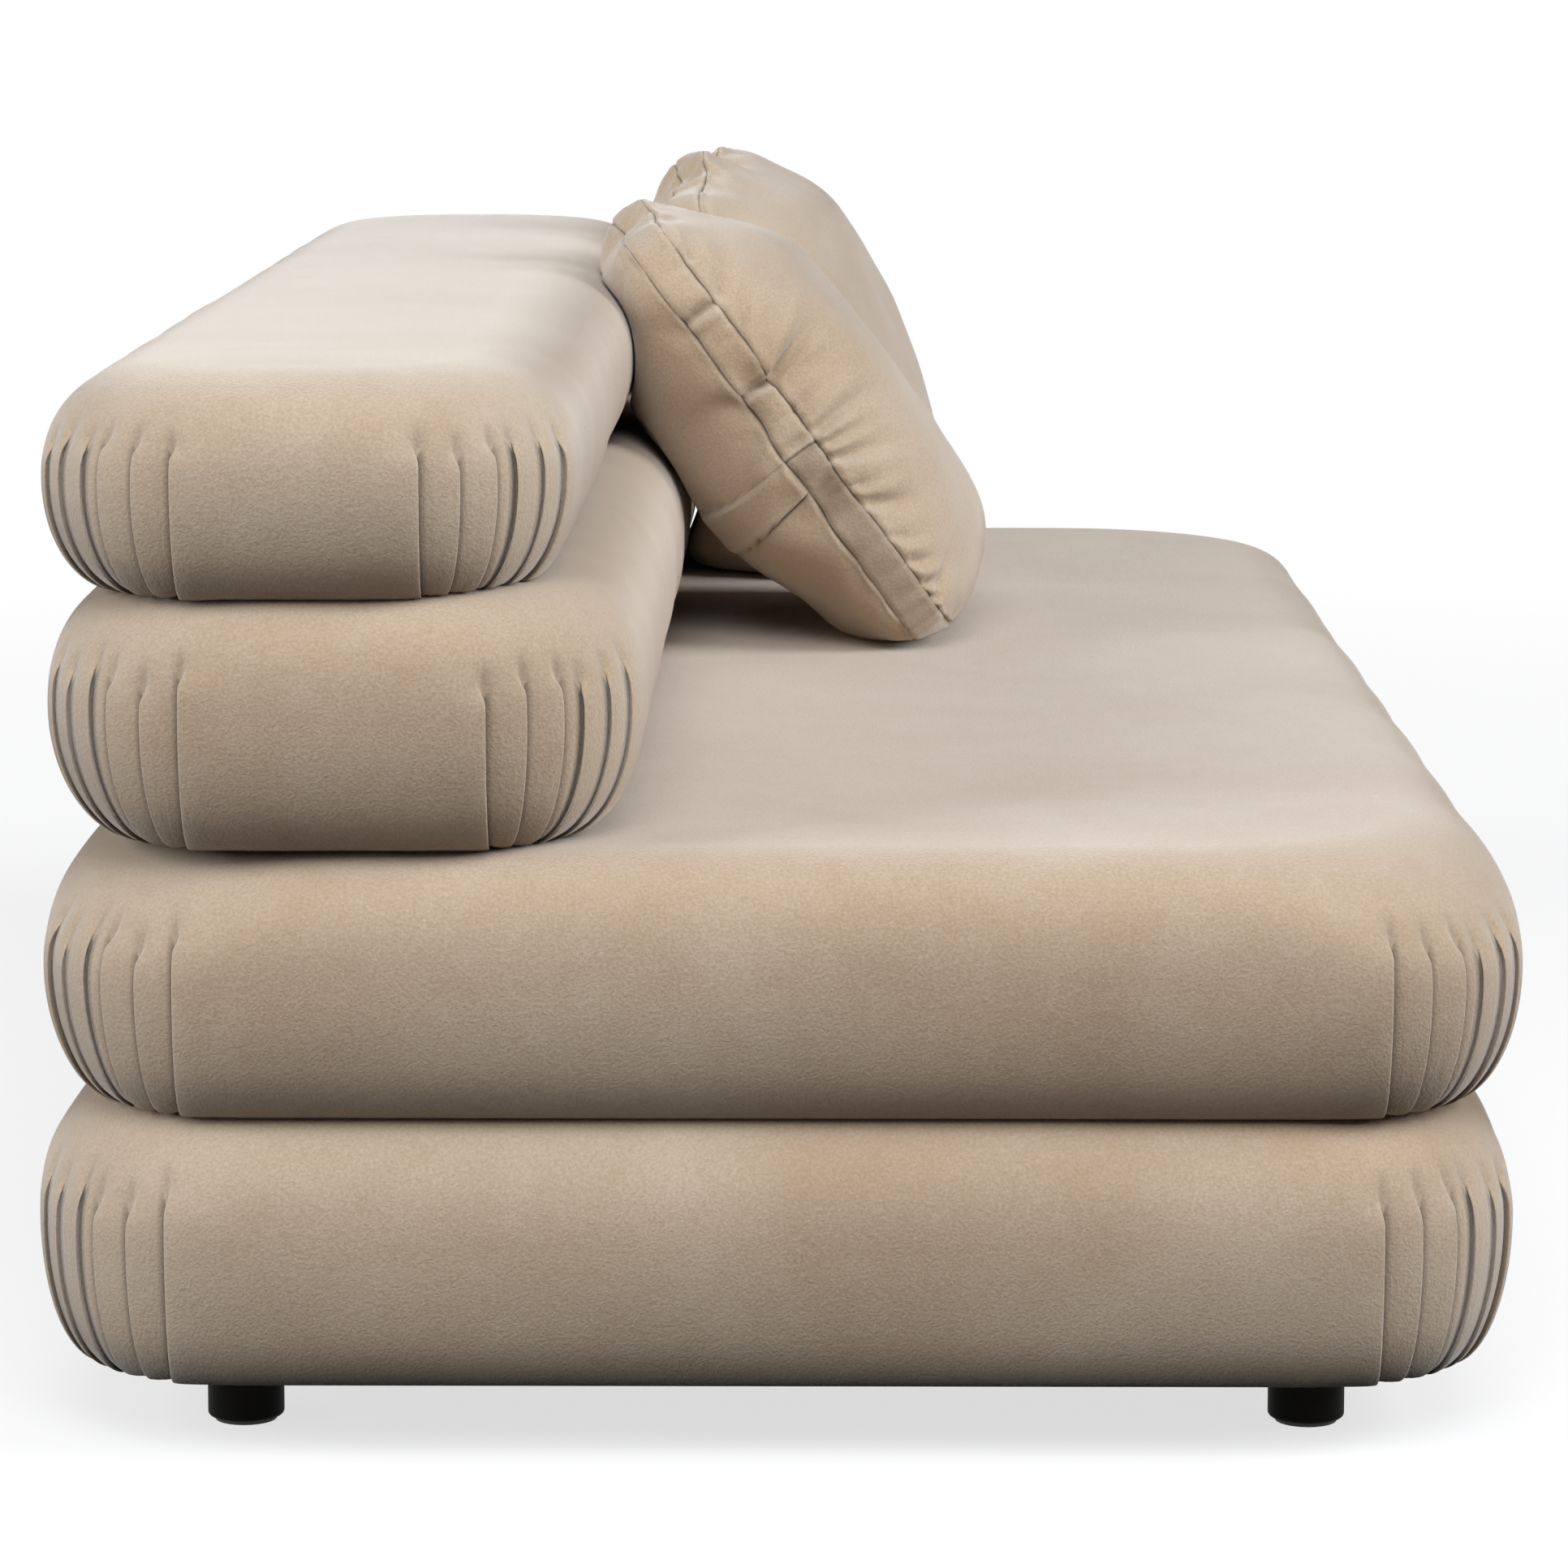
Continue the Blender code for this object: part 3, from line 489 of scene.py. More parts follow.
@dataclass
class KnifePleats:
    """Pleats fanned to both sides of a corner: each fold lies over the next one towards the bisector.

    Across a fold the place x and the height d follow t from -1 to 1: x = width (t - overlap sin pi t),
    d = depth / 2 tanh (t / step) (1 - |x| / half pitch). The overlap makes the cloth run back under the edge; towards
    the upper end of a fold it goes first, and the step widens by 1. Above its end a fold goes over into a soft
    gather, a valley that is steeper on the side of the next fold out.
    """

    first: float = 0.011
    pitch: float = 0.029
    per_side: int = 3
    width: float = 0.0085
    depth: float = 0.0048
    step: float = 0.28
    overlap: float = 0.66
    overlap_from: float = 0.25
    overlap_onset: float = 0.65
    outer_run: float = 1.3
    start: float = 0.52
    start_spread: float = 0.07
    onset: float = 0.36
    strength: tuple[float, float] = (0.8, 1.15)
    gather_depth: float = 0.0044
    gather_width: float = 0.0078
    gather_sides: tuple[float, float] = (0.60, 1.10)
    gather_above: float = 0.08
    gather_onset: float = 0.30
    gather_loss: float = 0.85
    # Painted shade along the soft gather, and painted lines of shade where the cloth is tucked under and of highlight
    # on the fold edge
    gather_shade: float = 0.45
    gather_line: float = -0.15
    line_sides: tuple[float, float] = (0.25, 0.60)
    painted_shade_place: float = -0.75
    painted_highlight_place: float = 0.36
    line_width: float = 0.12
    painted_highlight_size: float = 0.5
    samples: int = 19
    crowding: float = 1.4
    gap_cells: int = 4
    end_cells: int = 8
    least_distance: float = 0.0005

    def columns(self, half_arc: float) -> tuple[Array, Array, Array]:
        """Places across one side of a corner, from the bisector outwards.

        Args:
            half_arc: Length of arc from the bisector to the end of the corner.

        Returns:
            Distance from the bisector, number of the fold that each place belongs to, and its t.
        """
        steps = np.linspace(-1.0, 1.0, self.samples)
        across = np.sign(steps) * np.abs(steps) ** self.crowding
        places, owners, shares = [], [], []
        for fold in range(self.per_side):
            centre = self.first + fold * self.pitch
            if fold < self.per_side - 1:
                extra = np.linspace(0.0, self.pitch - 2 * self.width, self.gap_cells + 1)[1:-1]
            else:
                extra = np.linspace(0.0, half_arc - centre - self.width, self.end_cells + 1)[1:]
            places += [centre + self.width * across, centre + self.width + extra]
            shares += [across, 1.0 + extra / self.width]
            owners.append(np.full(self.samples + len(extra), fold))
        distance, owner, share = (np.concatenate(found) for found in (places, owners, shares))
        beyond = (distance - (self.first + owner * self.pitch) > self.pitch / 2) & (owner < self.per_side - 1)
        share = np.where(beyond, (distance - (self.first + (owner + 1) * self.pitch)) / self.width, share)
        return distance, np.where(beyond, owner + 1, owner), share

    def offsets(self, share: Array, outermost: Array, sharp: Array, soft: Array) -> tuple[Array, Array, Array]:
        """Shift along the corner, height over the foam and depth of shade of each place.

        Args:
            share: t of each column.
            outermost: Whether the column belongs to the outermost fold.
            sharp: How far each fold is made, from 0 to 1, by row and column.
            soft: How strong the soft gather above each fold is, by row and column.

        Returns:
            Shift away from the bisector, height, and painted shade: 1 deepest where the cloth is tucked under, and -1,
            a painted highlight, on a fold edge.
        """
        under = smooth_step((sharp - self.overlap_from) / self.overlap_onset)
        shift = -self.width * self.overlap * np.sin(math.pi * np.clip(share, -1.0, 1.0)) * under
        x = np.abs(share) * self.width
        run = np.where(outermost & (share > 0), self.pitch * self.outer_run, self.pitch / 2)
        edge = np.tanh(share / (1 + self.step - under)) * smooth_step(1.0 - x / run)
        valley = bell(x / self.gather_width, np.where(share > 0, *self.gather_sides))
        height = self.depth / 2 * edge * sharp - self.gather_depth * soft * valley
        beside = share - self.gather_line
        line = bell(beside, np.where(beside > 0, *self.line_sides))
        # Painted shade where the cloth is tucked under and along the soft gather, and a painted highlight on the fold
        # edge
        tuck = bell(share - self.painted_shade_place, self.line_width) * under + self.gather_shade * line * soft
        painted_rim = self.painted_highlight_size * bell(share - self.painted_highlight_place, self.line_width) * under
        return shift, height, tuck - painted_rim


@dataclass
class PleatedSlab:
    """One upholstered slab: a velvet cover over foam, with full rounded edges and pleated corners."""

    node: str
    seed: int
    reach_above: float
    reach_below: float
    power_above: float = 2.4
    power_below: float = 2.0
    corner_ease: float = 0.020
    crown: float = 0.0
    lift: float = 0.0
    carrier: PleatedSlab | None = None
    contact: float = 0.0008
    corner_radius: float = 0.150
    closest_fan: float = 0.55
    fan_margin: float = 1.3
    height_loss: float = 0.6
    nose_rows: int = 104
    top_rows: int = 16
    under_rows: int = 5
    straight_step: float = 0.030
    unevenness: float = 0.0011
    wave: float = 0.19
    # Shade painted darker towards the foot of the slab
    foot_shade: float = 0.46
    foot_from: float = 0.52
    pleats: KnifePleats = field(default_factory=KnifePleats)

    def __post_init__(self) -> None:
        """Take the slab's place and outer size from its CAD cover."""
        low, high = (np.array(corner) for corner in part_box(self.node + "_cover"))
        self.centre = (low + high) / 2
        self.half_length, self.half_depth, _ = (high - low) / 2
        self.bullnose = Bullnose(self.reach_above, self.reach_below, low[2], high[2] - self.crown + self.lift,
                                 self.power_above, self.power_below)

    @property
    def front(self) -> float:
        """Y of the foremost point of the front edge."""
        return float(self.centre[1] - self.half_depth)

    def front_at(self, height: Array) -> Array:
        """Y of the front face at each height; infinite where the slab isn't."""
        return self.front + self.bullnose.inset_at(height)

    def top_at(self, plan: Array) -> Array:
        """Height of the upper surface over each plan point.

        The inset i of a point is its distance in from the rounded outline. With the nose's reach r and power p, the
        surface rises by (1 - (1 - i / r)^p)^(1 / p) of the half height over the middle.

        Args:
            plan: Points, with x and y first along the last axis.

        Returns:
            One height for each point.
        """
        over = np.abs(plan[..., :2] - self.centre[:2]) - (self.half_length, self.half_depth) + self.corner_radius
        outside = np.linalg.norm(np.maximum(over, 0.0), axis=-1)
        inset = self.corner_radius - outside - np.minimum(over.max(axis=-1), 0.0)
        nose = self.bullnose
        left = np.clip(1 - inset / nose.reach_above, 0.0, 1.0)
        rise = (1 - left ** nose.power_above) ** (1 / nose.power_above)
        return nose.middle + rise * (nose.top - nose.middle)

    def corner_columns(self) -> tuple[Array, Array, Array]:
        """Columns of a corner from one side to the other.

        Returns:
            Angle from the bisector, number of the fold, which counts on for the second side, and t.
        """
        distance, owner, share = self.pleats.columns(self.corner_radius * math.pi / 4)
        keep = distance > self.pleats.least_distance
        distance, owner, share = distance[keep], owner[keep], share[keep]
        angle = np.concatenate([-distance[::-1], [0.0], distance]) / self.corner_radius
        shares = np.concatenate([share[::-1], [-self.pleats.first / self.pleats.width], share])
        fold = np.concatenate([owner[::-1] + self.pleats.per_side, [0], owner])
        return angle, fold, shares

    def fan(self, inset: Array, ease: Array, angle: Array) -> tuple[Array, Array]:
        """Turn the columns of a corner so that the outermost fold runs plumb while the corner's radius changes.

        With a corner radius r, the outermost fold keeps its distance s from the end of the side: its angle from the
        side is arcsin((s + ease) / r), the folds within share what is left, and the columns beyond fill up the rest.

        Args:
            inset: Distance in from the outer edge, by row.
            ease: Extra corner radius, by row.
            angle: Angles from the bisector of the columns at the foremost row.

        Returns:
            Angles by row and column, and by row how much closer the folds lie.
        """
        half = math.pi / 4
        edge = (self.pleats.first + (self.pleats.per_side - 1) * self.pleats.pitch) / self.corner_radius
        plumb = self.corner_radius * math.sin(half - edge)
        held = half - np.arcsin(np.clip((plumb + ease) / (self.corner_radius - inset + ease), 0.0, math.sin(half)))
        share = np.clip(held / edge, self.closest_fan, 1.0)[:, None]
        limit = edge + self.fan_margin * self.pleats.width / self.corner_radius
        size = np.abs(angle)
        beyond = share * limit + (size - limit) * (half - share * limit) / (half - limit)
        return np.sign(angle) * np.where(size <= limit, size * share, beyond), share

    def ring_grid(self, inset: Array, ease: Array, angle: Array) -> tuple[Array, Array]:
        """Plan points of rounded rectangles, one for each row.

        A corner point lies at its corner's centre plus the radius along its angle; the points of a straight
        side are spaced evenly between the ends of the two corners beside it.

        Args:
            inset: Distance in from the outer edge, by row.
            ease: Extra corner radius, by row.
            angle: Angles from the bisector, by row and column of one corner.

        Returns:
            Plan points by row and column, and the corner of each column, -1 on a straight.
        """
        radius = (self.corner_radius - inset + ease)[:, None]
        signs = ((1, 1), (-1, 1), (-1, -1), (1, -1))
        corners = []
        for quarter, (along, across) in enumerate(signs):
            turn = math.pi / 4 + quarter * math.pi / 2 + angle
            x = along * (self.half_length - inset[:, None] - radius) + radius * np.cos(turn)
            y = across * (self.half_depth - inset[:, None] - radius) + radius * np.sin(turn)
            corners.append(np.stack([x, y], axis=-1))
        pieces, labels = [], []
        for quarter, corner in enumerate(corners):
            start, end = corner[:, -1], corners[(quarter + 1) % 4][:, 0]
            length = 2 * ((self.half_length if quarter % 2 == 0 else self.half_depth) - self.corner_radius)
            count = max(int(round(length / self.straight_step)), 3)
            share = np.linspace(0.0, 1.0, count + 1)[1:-1][None, :, None]
            straight = start[:, None] * (1 - share) + end[:, None] * share
            pieces += [corner, straight]
            labels += [np.full(corner.shape[1], quarter), np.full(straight.shape[1], -1)]
        return np.concatenate(pieces, axis=1), np.concatenate(labels)

    def smooth_form(self, angle: Array) -> tuple[Array, Array, Array, Array]:
        """The slab before pleating: underside, bullnose and top, row by row.

        Args:
            angle: Angles from the bisector of the columns of one corner.

        Returns:
            Points by row and column, corner of each column, and for each row its rise from -1 to 1 and how much
            closer the folds lie.
        """
        inset, height, rise = self.bullnose.rows(self.nose_rows)
        ease = self.corner_ease * np.maximum(rise, 0.0) ** 2
        angles, closer = self.fan(inset, ease, angle)
        plan, corner = self.ring_grid(inset, ease, angles)
        nose = np.concatenate([plan, np.broadcast_to(height[:, None, None], (*plan.shape[:2], 1))], axis=-1)
        spine = nose[-1].copy()
        reach = self.half_length - self.half_depth
        spine[:, 0] = np.clip(spine[:, 0], -reach, reach)
        spine[:, 1] = 0.0
        inward = np.linspace(0.0, 1.0, self.top_rows + 1)[1:, None, None]
        top = nose[-1] * (1 - inward) + spine * inward
        top[..., 2] = self.bullnose.top + self.crown * (1 - (1 - inward[..., 0]) ** 2)
        spine[:, 2] = self.bullnose.bottom
        outward = np.linspace(1.0, 0.0, self.under_rows + 1)[:-1, None, None] ** 2
        under = nose[0] * (1 - outward) + spine * outward
        grid = np.concatenate([under, nose, top])
        rises = np.concatenate([np.full(self.under_rows, -1.0), rise, np.full(self.top_rows, 1.0)])
        ends = (self.under_rows, self.top_rows)
        return grid, corner, rises, np.pad(closer, (ends, (0, 0)), mode="edge")

    def fold_strength(self, rises: Array) -> tuple[Array, Array]:
        """How sharp each fold is, and how strong the soft gather above it, from underside to top.

        Args:
            rises: Rise of each row.

        Returns:
            Two arrays by row, corner and fold.
        """
        chance = np.random.default_rng(self.seed)
        pleats, each = self.pleats, (4, 2 * self.pleats.per_side)
        left = pleats.start + pleats.start_spread * chance.uniform(-1.0, 1.0, each) - rises[:, None, None]
        sharp = smooth_step(left / pleats.onset)
        soft = smooth_step((left + pleats.gather_above) / pleats.gather_onset) * (1 - pleats.gather_loss * sharp)
        strength = chance.uniform(*pleats.strength, each)
        return sharp * strength, soft * strength

    def build(self) -> bpy.types.Object:
        """Model the slab and put it in place of its CAD cover and foam.

        Shade is painted darker towards the foot of the slab, by the foot shade. Where the corner narrows, the folds
        shrink with its radius, their height by less. A slab with a carrier lies on it.

        Returns:
            The piece.
        """
        angle, fold, share = self.corner_columns()
        grid, corner, rises, closer = self.smooth_form(angle)
        around = unit(np.roll(grid, -1, axis=1) - np.roll(grid, 1, axis=1))
        outward = unit(np.cross(around, np.gradient(grid, axis=0)))
        under = self.under_rows
        outward[:under] = (0.0, 0.0, -1.0)
        outward[under + self.nose_rows:] = (0.0, 0.0, 1.0)
        sharp, soft = self.fold_strength(rises)
        sharp[:under] *= np.linspace(0.0, 1.0, under + 1)[:-1, None, None] ** 2
        # Painted shade, darker towards the foot of the slab
        painted_foot_shade = self.foot_shade * smooth_step((-rises - self.foot_from) / (1 - self.foot_from))
        tuck = np.broadcast_to(painted_foot_shade[:, None], grid.shape[:2]).copy()
        outermost = fold % self.pleats.per_side == self.pleats.per_side - 1
        for quarter in range(4):
            columns = corner == quarter
            shift, height, shade = self.pleats.offsets(
                share, outermost, sharp[:, quarter, fold], soft[:, quarter, fold])
            chord = grid[:, columns][:, 0, :2] - grid[:, columns][:, -1, :2]
            radius = np.linalg.norm(chord, axis=-1) / math.sqrt(2)
            shrink = (radius / self.corner_radius)[:, None] * closer
            tall = 1 - self.height_loss + self.height_loss * shrink
            grid[:, columns] += around[:, columns] * (shift * np.sign(angle) * shrink)[..., None]
            grid[:, columns] += outward[:, columns] * (height * tall)[..., None]
            # Painted shade and painted highlight of the pleats
            tuck[:, columns] += shade
        free = np.clip(1 - rises ** 4, 0.0, 1.0)[:, None]
        grid += outward * (wander(grid, self.wave, self.seed) * self.unevenness * free)[..., None]
        grid += self.centre * (1, 1, 0)
        if self.carrier:
            below = rises < 0.0
            grid[below, :, 2] = np.maximum(grid[below, :, 2], self.carrier.top_at(grid[below]) + self.contact)
        mesh = quad_mesh(self.node, grid.reshape(-1, 3), grid_quads(*grid.shape[:2]), **{PAINTED_SHADE_ATTRIBUTE: tuck})
        close_mesh(mesh)
        piece = add_piece(self.node + "_slab", mesh, VELVET, Body.SEAT_AND_BACK,
                          (self.node + "_cover", self.node + "_foam"))
        return piece


@dataclass
class TurnedLeg:
    """Short round leg, turned from wood, with eased edges and a bore for its bolt."""

    name: str
    foot_edge: float = 0.003
    top_edge: float = 0.001
    edge_steps: int = 7
    foot_middle: float = 0.6
    bore_clearance: float = 0.0003
    segments: int = 80

    def profile(self, radius: float, low: float, high: float) -> tuple[Array, Array]:
        """Radius and height from the middle of the foot, up the side, to the floor of the bore.

        Each eased edge is a quarter circle: radius less edge (1 - sin t), height plus edge (1 - cos t).

        Args:
            radius: Radius of the leg.
            low: Height of the foot.
            high: Height of the top.

        Returns:
            Radii and heights.
        """
        bolt_low, bolt_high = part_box("leg_bolt_" + self.name)
        bore = (bolt_high[0] - bolt_low[0]) / 2 + self.bore_clearance
        floor = bolt_low[2] - self.bore_clearance
        turn = np.linspace(0.0, math.pi / 2, self.edge_steps)
        foot, top = self.foot_edge, self.top_edge
        radii = np.concatenate([[0.0, radius * self.foot_middle], radius - foot * (1 - np.sin(turn)),
                                radius - top * (1 - np.cos(turn)), [bore, bore, 0.0]])
        heights = np.concatenate([[low, low], low + foot * (1 - np.cos(turn)),
                                  high - top * (1 - np.sin(turn)), [high, floor, floor]])
        return radii, heights

    def build(self) -> bpy.types.Object:
        """Turn the profile round the leg's own axis.

        Returns:
            The piece.
        """
        node = "leg_" + self.name
        low, high = (np.array(corner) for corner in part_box(node))
        radii, heights = self.profile((high[0] - low[0]) / 2, low[2], high[2])
        turn = np.linspace(0.0, 2 * math.pi, self.segments, endpoint=False)
        ring = np.stack([np.cos(turn), np.sin(turn)], axis=-1)
        plan = radii[:, None, None] * ring + (low + high)[:2] / 2
        rise = np.broadcast_to(heights[:, None, None], (*plan.shape[:2], 1))
        grid = np.concatenate([plan, rise], axis=-1)
        mesh = quad_mesh(node, grid.reshape(-1, 3), grid_quads(*grid.shape[:2]))
        close_mesh(mesh)
        piece = add_piece("turned_" + node, mesh, BLACK_LACQUER, Body.SEAT_AND_BACK, (node,))
        piece.modifiers.new("weighted_normals", "WEIGHTED_NORMAL").keep_sharp = True
        return piece


def resample(values: Array, places: Array) -> Array:
    """Read rows of values at fractional row numbers along a cubic curve through four rows at a time.

    Args:
        values: Values by row.
        places: Row numbers, whole or not.

    Returns:
        One row for each place.
    """
    ends = 2 * values[0] - values[1], 2 * values[-1] - values[-2]
    padded = np.concatenate([ends[0][None], values, ends[1][None]])
    base = np.clip(np.floor(places).astype(int), 0, len(values) - 2)
    t = (places - base).reshape(-1, *[1] * (values.ndim - 1))
    before, start, end, after = (padded[base + step] for step in range(4))
    bend = 2 * before - 5 * start + 4 * end - after
    twist = 3 * (start - end) + after - before
    return start + 0.5 * t * (end - before + t * (bend + t * twist))


@dataclass
class BoxPattern:
    """Two square panels and the band sewn between them, as one grid of points each.

    A panel point has a place (a, b), each from -1 to 1; a runs along the width and b up the height. The seam runs
    up the near side, over the top, down the far side and back along the bottom.
    """

    cells: int
    band_rows: int

    @property
    def row(self) -> int:
        """Points along one side of a panel."""
        return self.cells + 1

    def loop(self) -> Array:
        """Numbers of a panel's border points, in the seam's order."""
        grid = np.arange(self.row ** 2).reshape(self.row, self.row)
        return np.concatenate([grid[0, :-1], grid[:-1, -1], grid[-1, :0:-1], grid[:0:-1, 0]])

    def quads(self) -> Array:
        """Faces of the front panel, the back panel and the band, all facing outwards.

        Returns:
            Vertex numbers, four to a face.
        """
        grid = np.arange(self.row ** 2).reshape(self.row, self.row)
        front = np.stack([grid[:-1, :-1], grid[1:, :-1], grid[1:, 1:], grid[:-1, 1:]], axis=-1).reshape(-1, 4)
        back = front[:, ::-1] + self.row ** 2
        loop = self.loop()
        inner = 2 * self.row ** 2 + np.arange((self.band_rows - 1) * len(loop)).reshape(-1, len(loop))
        rows = np.concatenate([loop[None], inner, loop[None] + self.row ** 2])
        right = np.roll(rows, -1, axis=1)
        band = np.stack([rows[:-1], right[:-1], right[1:], rows[1:]], axis=-1).reshape(-1, 4)
        return np.concatenate([front, back, band])

    def join(self, front: Array, back: Array, band: Array) -> Array:
        """String panel grids and the band's inner rows into one list of points."""
        width = front.shape[-1]
        return np.concatenate([front.reshape(-1, width), back.reshape(-1, width), band.reshape(-1, width)])

    def split(self, points: Array) -> tuple[Array, Array, Array]:
        """Part a list of points into the front panel, the back panel and all rows of the band."""
        count = self.row ** 2
        front = points[:count].reshape(self.row, self.row, -1)
        back = points[count:2 * count].reshape(self.row, self.row, -1)
        loop = self.loop()
        inner = points[2 * count:].reshape(self.band_rows - 1, len(loop), -1)
        band = np.concatenate([points[:count][loop][None], inner, points[count:2 * count][loop][None]])
        return front, back, band


@dataclass(frozen=True)
class Crease:
    """Cross-section of a sewn line or a fold: how the cloth rises and falls across it, and the shade and highlight
    painted on it.

    Each ridge or groove, and each line of painted shade or painted highlight, has a size, a width w and a place p
    across the crease. It adds size exp -((x - p) / w)^2 at a distance x from the crease.
    """

    relief: tuple[tuple[float, float, float], ...]
    shade: tuple[tuple[float, float, float], ...]

    def across(self, x: Array) -> list[Array]:
        """Height and shade at distances x from the crease."""
        return [sum(size * bell(x - place, width) for size, width, place in lines)
                for lines in (self.relief, self.shade)]


# A seam draws the cloth in and swells beside it, with shade painted into it
SEAM = Crease(relief=((0.0006, 0.003, 0.0055), (-0.0018, 0.0019, 0.0)), shade=((0.95, 0.0009, 0.0),))
# The joint of the band's two ends, with shade painted into it and a painted highlight on the end that lies on top
BAND_JOINT = Crease(relief=((-0.0016, 0.0026, 0.0),), shade=((0.8, 0.0016, 0.0), (-0.5, 0.0016, 0.004)))
# A pinch across the band: a ridge over a deep valley, with painted shade in the valley and a painted highlight on the
# ridge
PINCH = Crease(relief=((0.0022, 0.007, -0.010), (-0.0040, 0.0045, 0.0)),
               shade=((0.45, 0.0030, 0.0), (-0.30, 0.0050, -0.0085)))
# The free lower edge of the flap over the zip, with painted shade under it and a painted highlight on it, and the soft
# fold along its top, with painted shade in it
FLAP_EDGE = Crease(relief=((0.0014, 0.0030, 0.0032), (-0.0014, 0.0016, -0.0015)),
                   shade=((0.9, 0.0011, -0.0008), (-0.5, 0.0011, 0.0016)))
FLAP_FOLD = Crease(relief=((-0.0007, 0.002, 0.0),), shade=((0.35, 0.0012, 0.0),))

# Cover that hardly stretches, blown up to a set volume, with its seams drawn up by about a hundredth
CLOTH: dict[str, Any] = {
    "quality": 5, "mass": 0.25, "tension_stiffness": 22.0, "compression_stiffness": 9.0, "shear_stiffness": 6.0,
    "bending_stiffness": 0.3, "use_pressure": True, "uniform_pressure_force": 0.0, "use_pressure_volume": True,
    "pressure_factor": 6.0, "shrink_max": 0.012}
CLOTH_FRAMES = 24


@dataclass(frozen=True)
class Pull:
    """A pull in the cloth beside a seam: a valley with a ridge at each side, which widen and fade away from the seam.

    With x along the seam from the pull, d away from it and w = width (1 + widening d / reach), the height is
    depth (ridge exp -((|x| - ridge_place w) / w)^2 - exp -(x / w)^2) times a fade that is nil at d = reach.
    """

    place: float
    reach: float
    width: float
    depth: float
    lean: float
    widening: float = 0.9
    ridge: float = 0.5
    ridge_place: float = 2.1
    seam_share: float = 0.55
    full_from: float = 0.010

    def relief(self, along: Array, away: Array) -> Array:
        """Height of the cloth at distances along the seam and away from it, below zero in the valley."""
        spread = self.width * (1 + self.widening * away / self.reach)
        x = np.abs(along - self.place - self.lean * away)
        start = self.seam_share + (1 - self.seam_share) * smooth_step(away / self.full_from)
        form = self.ridge * bell(x - self.ridge_place * spread, spread) - bell(x, spread)
        return self.depth * smooth_step(1 - away / self.reach) * start * form


# Pulls beside the near end of the near cushion's front seam, from the top down, each placed by its share of the side
NEAR_PULLS = (
    Pull(0.93, reach=0.055, width=0.0042, depth=0.0028, lean=-0.30),
    Pull(0.84, reach=0.080, width=0.0065, depth=0.0040, lean=-0.10),
    Pull(0.76, reach=0.050, width=0.0045, depth=0.0030, lean=0.10),
    Pull(0.63, reach=0.115, width=0.0058, depth=0.0070, lean=0.05),
    Pull(0.53, reach=0.060, width=0.0042, depth=0.0028, lean=0.05),
    Pull(0.46, reach=0.110, width=0.0050, depth=0.0060, lean=0.10),
    Pull(0.425, reach=0.065, width=0.0042, depth=0.0036, lean=-0.05),
    Pull(0.37, reach=0.090, width=0.0055, depth=0.0054, lean=0.05),
    Pull(0.30, reach=0.055, width=0.0042, depth=0.0026, lean=0.10),
    Pull(0.245, reach=0.105, width=0.0062, depth=0.0042, lean=0.15),
    Pull(0.17, reach=0.060, width=0.0046, depth=0.0034, lean=0.10),
    Pull(0.11, reach=0.085, width=0.0050, depth=0.0048, lean=0.35),
    Pull(0.06, reach=0.080, width=0.0042, depth=0.0060, lean=0.60),
    Pull(0.025, reach=0.075, width=0.0038, depth=0.0060, lean=0.95),
)


def scatter_pulls(seed: int, per_side: int, length: float) -> list[list[Pull]]:
    """Spread pulls unevenly along the four sides of a panel; a strong one reaches further and is wider and deeper.

    Args:
        seed: Number that fixes them.
        per_side: How many lie along each side.
        length: Length of a side.

    Returns:
        The pulls of each side.
    """
    chance = np.random.default_rng(seed)
    count = 4 * per_side
    place = (np.tile(np.arange(per_side), 4) + 0.5 + chance.uniform(-0.34, 0.34, count)) * length / per_side
    strength = chance.uniform(0.15, 1.0, count) ** 1.6
    width = 0.0045 + 0.0055 * chance.uniform(0.0, 1.0, count) + 0.002 * strength
    lean = chance.uniform(-0.35, 0.35, count)
    pulls = [Pull(*sizes) for sizes in zip(place, 0.014 + 0.040 * strength, width, 0.0004 + 0.0022 * strength, lean)]
    return [pulls[first:first + per_side] for first in range(0, count, per_side)]


